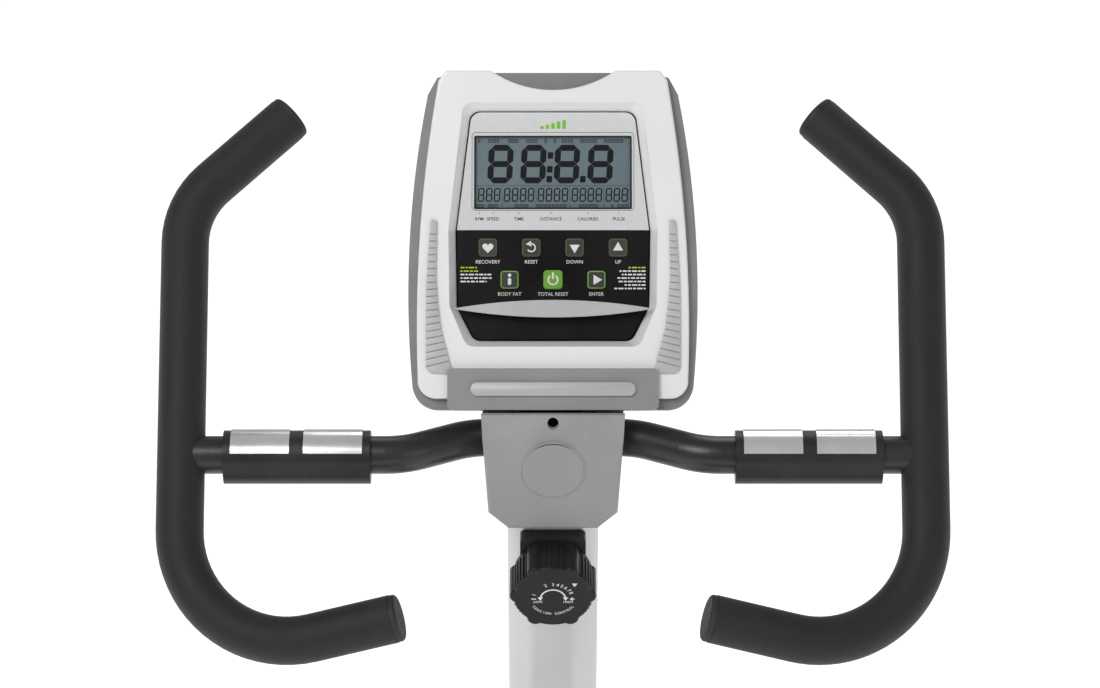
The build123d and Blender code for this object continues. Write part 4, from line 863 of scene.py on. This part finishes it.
for button, (kind, words, frameInk) in keys.items():
    spot = middle(button)
    x = spot.x / mm
    rise = (spot.dot(faceUp) - faceFoot) / mm
    keyTop = reach(button, faceOut) - faceTop - 0.02 * mm
    outlines = [cutShape(outline, 0.1 * mm) for outline in symbolOutlines(kind)]
    place = facePlace(x, rise, keyTop)
    symbol = joined([settle(outline, place) for outline in outlines], button + "_symbol")
    finishPiece(symbol, inks["white"], button)
    if frameInk:
        rim = cutFrame(roundedPoints(13.2, 13.2, 2.4), 0.55 * mm, 0.09 * mm)
        settle(rim, place).name = button + "_rim"
        finishPiece(rim, inks[frameInk], button)
    place = facePlace(x, rise - labels["keyDrop"], printed)
    label = lettering(words, labels["keyHeight"], place, weight=labels["weight"])
    label.name = button + "_label"
    finishPiece(label, inks["white"], "frame")
print("key symbols made")


# Ribbed side trims.
trims = {
    "outline": ((87.5, 142), (90.6, 143.4), (92.5, 142), (94.6, 110), (95.5, 90), (95.7, 60),
                (95.5, 31), (93.0, 27.5), (89.5, 26.6), (78.5, 26.6), (76.2, 29.5), (79.2, 42),
                (84, 60), (86.6, 80), (88.0, 100)),
    "base": 0.9, "height": 1.3, "groove": 0.55, "bands": 20, "steepest": 0.22, "top": 132.0, "bottom": 33.0,
}


def sideTrim(side):
    # one raised scale for each band, with grooves between them
    freshStart()
    outline = [(x * side, y) for x, y in trims["outline"]]
    if side > 0:
        outline.reverse()
    base = cutShape(outline, trims["base"] * mm)
    parts = [base]
    cuts = []
    for band in range(trims["bands"]):
        share = band / (trims["bands"] - 1)
        cuts.append((trims["bottom"] + (trims["top"] - trims["bottom"]) * share,
                     trims["steepest"] * (1 - share) + 0.03))
    flat = cutShape(outline, trims["height"] * mm)
    for band in range(len(cuts) + 1):
        scale = copyOf(flat, Matrix.Translation((0, 0, (trims["base"] - 0.05) * mm)))
        only(scale)
        bpy.ops.object.mode_set(mode="EDIT")
        for edge, keepAbove in ((band - 1, True), (band, False)):
            if 0 <= edge < len(cuts):
                rise, slope = cuts[edge]
                rise += (trims["groove"] if keepAbove else -trims["groove"]) / 2
                normal = Vector((side * slope, 1, 0)).normalized()
                bpy.ops.mesh.select_all(action="SELECT")
                bpy.ops.mesh.bisect(
                    plane_co=(side * 90 * mm, rise * mm, 0), plane_no=normal, use_fill=True,
                    clear_inner=keepAbove, clear_outer=not keepAbove,
                )
        bpy.ops.object.mode_set(mode="OBJECT")
        parts.append(scale)
    throwAway(flat)
    trim = joined(parts, "sideTrimRight" if side > 0 else "sideTrimLeft")
    settle(trim, facePlace(0, 0, 0.02 * mm))
    return withModifier(trim, "BEVEL", width=0.28 * mm, segments=2, limit_method="ANGLE")


rightTrim = sideTrim(1)
leftTrim = sideTrim(-1)
for trim in (leftTrim, rightTrim):
    finishPiece(smoothed(trim, 40), finishes["trim_plastic"], "frame")
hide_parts("console_trims")
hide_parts("console_trims")
print("side trims made")


# The ring on the neck cover and the bar on the lip.
ring = {"rise": 52.4, "radius": 24.3, "line": 0.55, "field": 22.6, "fieldProud": 0.35}
neckLow = Vector(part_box("neck_cover_front")[0])


def neckRing():
    # a plain raised line round a slightly raised round field
    spot = Vector((0, neckLow.y, neckLow.z + ring["rise"] * mm))
    place = facing(backwards, upwards, spot)
    freshStart()
    bpy.ops.mesh.primitive_torus_add(
        major_radius=ring["radius"] * mm, minor_radius=ring["line"] * mm,
        major_segments=96, minor_segments=12,
    )
    line = settle(bpy.context.object, place)
    field = cutShape(arcPoints(ring["field"], 0, 356.25, 95), ring["fieldProud"] * mm)
    choose(field, faces=lambda face: face.normal.z > 0.9)
    bpy.ops.mesh.inset(thickness=1.2 * mm, depth=-0.2 * mm)
    bpy.ops.object.mode_set(mode="OBJECT")
    settle(field, place)
    return smoothed(joined([line, field], "neckRing"))


finishPiece(neckRing(), special["neck_cover_front"], "frame")

lip = {"rise": 14.5, "length": 124.0, "height": 10.4, "proud": 0.5, "round": 0.45}


def lipBar():
    top = reach("console_lip", faceOut) - faceTop
    points = roundedPoints(lip["length"], lip["height"], lip["height"] / 2 - 0.01, 10)
    bar = cutShape(points, lip["proud"] * mm)
    choose(bar, edges=lambda edge: all(corner.co.z > lip["proud"] * mm / 2 for corner in edge.verts))
    bpy.ops.mesh.bevel(offset=lip["round"] * mm, segments=3)
    bpy.ops.object.mode_set(mode="OBJECT")
    return smoothed(settle(bar, facePlace(0, lip["rise"], top - 0.02 * mm)))


bar = lipBar()
bar.name = "lipBar"
# the lip's bar is a real raised insert; its grey, lighter than the lip, is painted highlight
finishPiece(bar, special["console_page_bar"], "frame")
print("ring and lip bar made")


# The tension knob's dial and flutes.
dial = {
    "numbers": ((163, "1"), (112, "2"), (90, "3"), (76, "4"), (63, "5"), (50, "6"), (37, "7"), (25, "8")),
    "numberRing": 15.0, "numberHeight": 3.1, "arrowRing": 9.6, "arrowWidth": 1.2,
    "words": "TENSION CONTROL", "wordRing": 18.6, "wordHeight": 2.3, "wordSpread": 106,
    "signs": 14.6, "rows": -3.2, "pointer": 21.0, "drop": -2.0,
}
knobOut = Vector(joints["tension_turn"]["axis"]).normalized()
knobUp = Vector((0, knobOut.z, -knobOut.y))
knobMiddle = Vector(joints["tension_turn"]["pos_m"])
knobFront = reach("tension_knob", knobOut)


def knobPlace(x, rise, proud=0.0, turn=0.0):
    foot = knobMiddle - knobOut * knobMiddle.dot(knobOut)
    spot = foot + crossing(knobOut, knobUp, x * mm, rise * mm, knobFront + proud * mm)
    return facing(knobOut, knobUp, spot) @ Matrix.Rotation(math.radians(turn), 4, "Z")


def dialPrint():
    parts = []
    for angle, number in dial["numbers"]:
        x, y = onRing(dial["numberRing"], angle)
        place = knobPlace(x, y + dial["drop"], 0.02, angle - 90)
        parts.append(lettering(number, dial["numberHeight"], place, weight=0.02))
    radius, half = dial["arrowRing"], dial["arrowWidth"] / 2
    sweep = arcPoints(radius + half, 10, 170, 24) + arcPoints(radius - half, 170, 10, 24)
    shapes = [sweep]
    for side in (-1, 1):
        head = [(2.1, 0.4), (0, -3.2), (-2.1, 0.4)]
        shapes.append([(side * radius + x * side * -1, y + 1.4) for x, y in head])
    shapes.append([(x - dial["signs"], y) for x, y in roundedPoints(3.6, 0.9, 0.2, 1)])
    shapes.append([(x + dial["signs"], y) for x, y in roundedPoints(3.6, 0.9, 0.2, 1)])
    shapes.append([(x + dial["signs"], y) for x, y in roundedPoints(0.9, 3.6, 0.2, 1)])
    for shape in shapes:
        parts.append(settle(cutShape(shape, 0.08 * mm), knobPlace(0, dial["drop"], 0.01)))
    pointer = cutShape(trianglePoints(2.4, 28), 0.08 * mm)
    parts.append(settle(pointer, knobPlace(dial["pointer"] * 0.78, dial["pointer"] * 0.55 + 1.5, 0.01)))
    for words, x in (("LOW", -11.5), ("HIGH", 11.5)):
        place = knobPlace(x, dial["rows"] + dial["drop"], 0.02)
        parts.append(lettering(words, dial["wordHeight"] * 0.95, place, weight=0.02))
    for step, letter in enumerate(dial["words"]):
        angle = -90 + dial["wordSpread"] * (step / (len(dial["words"]) - 1) - 0.5)
        x, y = onRing(dial["wordRing"], angle)
        if letter != " ":
            place = knobPlace(x, y + dial["drop"] + 3, 0.02, angle + 90)
            parts.append(lettering(letter, dial["wordHeight"], place, weight=0.02))
    return joined(parts, "dialPrint")


finishPiece(dialPrint(), inks["white"], "tension_knob")


flutes = {
    "count": 48, "radius": 30.1, "width": 1.5, "proud": 0.7, "length": 24.0, "back": 27.0, "clear": 11.0,
}


def knobFlutes():
    # short ribs between the finger lobes
    parts = []
    freshStart()
    size = (flutes["width"] * mm, flutes["proud"] * 2 * mm, flutes["length"] * mm)
    bpy.ops.mesh.primitive_cube_add(size=1, scale=size)
    rib = settle(bpy.context.object)
    withModifier(rib, "BEVEL", width=0.4 * mm, segments=2)
    for step in range(flutes["count"]):
        angle = 360 / flutes["count"] * (step + 0.5)
        fromLobe = abs((angle - 90 + 30) % 60 - 30)
        if fromLobe < flutes["clear"]:
            continue
        outwardMove = Matrix.Translation((0, -flutes["radius"] * mm, 0))
        parts.append(copyOf(rib, knobPlace(0, 0, -flutes["back"] / 2, angle) @ outwardMove))
    throwAway(rib)
    return smoothed(joined(parts, "knobFlutes"))


finishPiece(knobFlutes(), special["tension_knob"], "tension_knob")
print("knob made")


# The saddle's cushion and piping.
saddle = {
    "voxel": 5.0, "start": 0.955, "pressure": 4.0, "cap": 9.0, "channelWidth": 17.0, "channelDepth": 7.0,
    "piping": 1.9, "pipingRise": 15.0,
}


def looseCushion(name):
    twin = copyOf(nodes["saddle_cushion"])
    twin.parent = None
    for key in [key for key in twin.keys() if key.startswith("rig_")]:
        del twin[key]
    twin.name = name
    twin.data.name = name
    return outwards(twin)


def swollenCushion():
    low, high = (Vector(corner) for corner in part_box("saddle_cushion"))
    centre = (low + high) / 2
    cushion = looseCushion("saddleCushion")
    shrink = Matrix.Diagonal((saddle["start"], saddle["start"], saddle["start"], 1))
    cushion.data.transform(Matrix.Translation(centre) @ shrink @ Matrix.Translation(-centre))
    withModifier(cushion, "REMESH", mode="VOXEL", voxel_size=saddle["voxel"] * mm)
    rest = [corner.co.copy() for corner in cushion.data.vertices]
    only(cushion)
    bpy.ops.object.modifier_add(type="CLOTH")
    cloth = cushion.modifiers[-1]
    cloth.settings.use_pressure = True
    cloth.settings.uniform_pressure_force = saddle["pressure"]
    cloth.settings.effector_weights.gravity = 0
    for moment in range(1, 21):
        bpy.context.scene.frame_set(moment)
    bpy.ops.object.modifier_apply(modifier=cloth.name)
    bpy.context.scene.frame_set(1)
    for corner, before in zip(cushion.data.vertices, rest):
        move = corner.co - before
        if move.length > saddle["cap"] * mm:
            corner.co = before + move.normalized() * saddle["cap"] * mm
    shapeSaddle(cushion, low, high)
    withModifier(cushion, "SUBSURF", levels=1, render_levels=1)
    return smoothed(cushion, 60)


def shapeSaddle(cushion, low, high):
    # a dished top with a long relief channel, lower at the nose and full at the rear
    length = high.y - low.y
    for corner in cushion.data.vertices:
        along = (corner.co.y - low.y) / length
        height = (corner.co.z - low.z) / (high.z - low.z)
        top = max(0.0, min(1.0, (height - 0.45) / 0.55))
        across = corner.co.x / (saddle["channelWidth"] * mm)
        reachIn = max(0.0, min(1.0, (along - 0.08) / 0.2)) * max(0.0, min(1.0, (0.93 - along) / 0.2))
        corner.co.z -= saddle["channelDepth"] * mm * top * reachIn * math.exp(-across * across)
        corner.co.z -= 9 * mm * top * max(0.0, math.sin(math.pi * min(1.0, along * 1.15)) - 0.25)
        corner.co.z = max(corner.co.z, low.z)
        corner.co.z = min(corner.co.z, high.z + 4 * mm)


def saddlePiping(cushion):
    # a cord of piping along the seam between the top and the skirt
    seam = copyOf(cushion)
    only(seam)
    bpy.ops.object.mode_set(mode="EDIT")
    bpy.ops.mesh.select_all(action="SELECT")
    bpy.ops.mesh.bisect(
        plane_co=(0, 0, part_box("saddle_cushion")[0][2] + saddle["pipingRise"] * mm), plane_no=(0, 0, 1),
        clear_inner=True, clear_outer=True,
    )
    bpy.ops.mesh.remove_doubles(threshold=0.0005)
    bpy.ops.object.mode_set(mode="OBJECT")
    bpy.ops.object.convert(target="CURVE")
    cord = bpy.context.object
    cord.name = "saddlePiping"
    cord.data.bevel_depth = saddle["piping"] * mm
    cord.data.bevel_resolution = 3
    bpy.ops.object.convert(target="MESH")
    return smoothed(bpy.context.object, 60)


cushion = swollenCushion()
piping = saddlePiping(cushion)
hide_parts("saddle_cushion")
finishPiece(cushion, finishes["saddle_cover"], "saddle")
finishPiece(piping, finishes["rubber"], "saddle")
print("saddle made")


# Round covers where the crank's axle leaves the shroud.
crankCover = {
    "radius": 62.0, "hub": 24.0, "thickness": 2.2, "sink": 0.6, "step": 9.0, "drop": 0.8, "round": 0.5,
}


def crankCoverRing(side):
    # a plain round cover with a stepped face, clipped over the hole for the crank's axle
    low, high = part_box("shroud_right" if side > 0 else "shroud_left")
    axle = Vector(joints["crank_spin"]["pos_m"])
    skin = (high[0] if side > 0 else low[0]) - side * crankCover["sink"] * mm
    place = facing(Vector((side, 0, 0)), upwards, Vector((skin, axle.y, axle.z)))
    freshStart()
    bpy.ops.mesh.primitive_circle_add(vertices=96, radius=crankCover["radius"] * mm, fill_type="NGON")
    cover = bpy.context.object
    bpy.ops.object.mode_set(mode="EDIT")
    bpy.ops.mesh.select_all(action="SELECT")
    bpy.ops.mesh.extrude_region_move(TRANSFORM_OT_translate={"value": (0, 0, crankCover["thickness"] * mm)})
    bpy.ops.object.mode_set(mode="OBJECT")
    outwards(cover)
    choose(cover, faces=lambda face: face.normal.z > 0.9)
    bpy.ops.mesh.inset(thickness=crankCover["step"] * mm, depth=0)
    bpy.ops.mesh.inset(thickness=crankCover["drop"] * mm, depth=-crankCover["drop"] * mm)
    bpy.ops.object.mode_set(mode="OBJECT")
    withModifier(cover, "BEVEL", width=crankCover["round"] * mm, segments=2, limit_method="ANGLE")
    freshStart()
    bpy.ops.mesh.primitive_cylinder_add(vertices=64, radius=crankCover["hub"] * mm, depth=20 * mm)
    hole = bpy.context.object
    withModifier(cover, "BOOLEAN", object=hole, operation="DIFFERENCE", solver="EXACT")
    throwAway(hole)
    cover.name = "crankCoverRight" if side > 0 else "crankCoverLeft"
    return smoothed(settle(cover, place))


for side in (-1, 1):
    finishPiece(crankCoverRing(side), finishes["black_plastic"], "frame")
print("crank covers made")


# Treads on the pedals.
tread = {"ribs": 7, "height": 1.4, "width": 4.2, "length": 66.0, "round": 0.8}


def pedalTread(node, name, body):
    # soft ribs across the pedal's upper face
    low, high = (Vector(corner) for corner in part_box(node))
    centre = (low + high) / 2
    freshStart()
    size = (tread["length"] * mm, tread["width"] * mm, tread["height"] * 2 * mm)
    bpy.ops.mesh.primitive_cube_add(size=1, scale=size)
    rib = withModifier(settle(bpy.context.object), "BEVEL", width=tread["round"] * mm, segments=3)
    parts = []
    for step in range(tread["ribs"]):
        y = low.y + (high.y - low.y) * (step + 0.5) / tread["ribs"]
        parts.append(copyOf(rib, Matrix.Translation((centre.x, y, high.z))))
    throwAway(rib)
    finishPiece(smoothed(joined(parts, name)), finishes["rubber"], body)


pedalTread("pedal_left", "pedalTreadLeft", "left_pedal")
pedalTread("pedal_right", "pedalTreadRight", "right_pedal")
print("pedals made")


# The room, its lights and the camera.
room = {"floorSize": 160.0, "floorGlow": 0.72, "sky": 0.3}


def paleFloor():
    freshStart()
    bpy.ops.mesh.primitive_plane_add(size=room["floorSize"])
    floor = bpy.context.object
    floor.name = "paleFloor"
    material, make, link, shader = newMaterial("paleFloorPaint")
    cloud = make("ShaderNodeTexNoise")
    cloud.inputs["Scale"].default_value = 3
    tone = shades(make, grey(0.9), grey(0.93))
    link(cloud.outputs["Fac"], tone.inputs["Factor"])
    link(tone.outputs["Result"], shader.inputs["Base Color"])
    shader.inputs["Roughness"].default_value = 0.9
    shader.inputs["Emission Color"].default_value = (1, 1, 1, 1)
    shader.inputs["Emission Strength"].default_value = room["floorGlow"]
    dress(floor, material)


paleFloor()
world = bpy.data.worlds.new("softRoom")
bpy.context.scene.world = world
world.use_nodes = True
world.node_tree.nodes["Background"].inputs["Color"].default_value = (1, 1, 1, 1)
world.node_tree.nodes["Background"].inputs["Strength"].default_value = room["sky"]

lamps = {
    "keyLamp": {"spot": (-1.1, -1.2, 3.2), "size": 1.4, "watts": 30},
    "fillLamp": {"spot": (1.6, -1.8, 2.2), "size": 1.6, "watts": 7},
    "backLamp": {"spot": (0.4, 2.2, 2.8), "size": 1.6, "watts": 13},
}
target = Vector((0, 0.15, 1.15))
for name, lamp in lamps.items():
    freshStart()
    bpy.ops.object.light_add(type="AREA", location=lamp["spot"])
    light = bpy.context.object
    light.name = name
    light.data.shape = "DISK"
    light.data.size = lamp["size"]
    light.data.energy = lamp["watts"]
    light.rotation_euler = (target - Vector(lamp["spot"])).to_track_quat("-Z", "Y").to_euler()

view = {"spot": (-0.00225, -2.1367, 2.5421), "downTilt": 60.0, "lens": 117.8}
freshStart()
bpy.ops.object.camera_add(location=view["spot"], rotation=(math.radians(view["downTilt"]), 0, 0))
camera = bpy.context.object
camera.name = "riderCamera"
camera.data.lens = view["lens"]
camera.data.sensor_width = 36
bpy.context.scene.camera = camera
bpy.context.scene.view_settings.view_transform = "Standard"
print("lights and camera set")
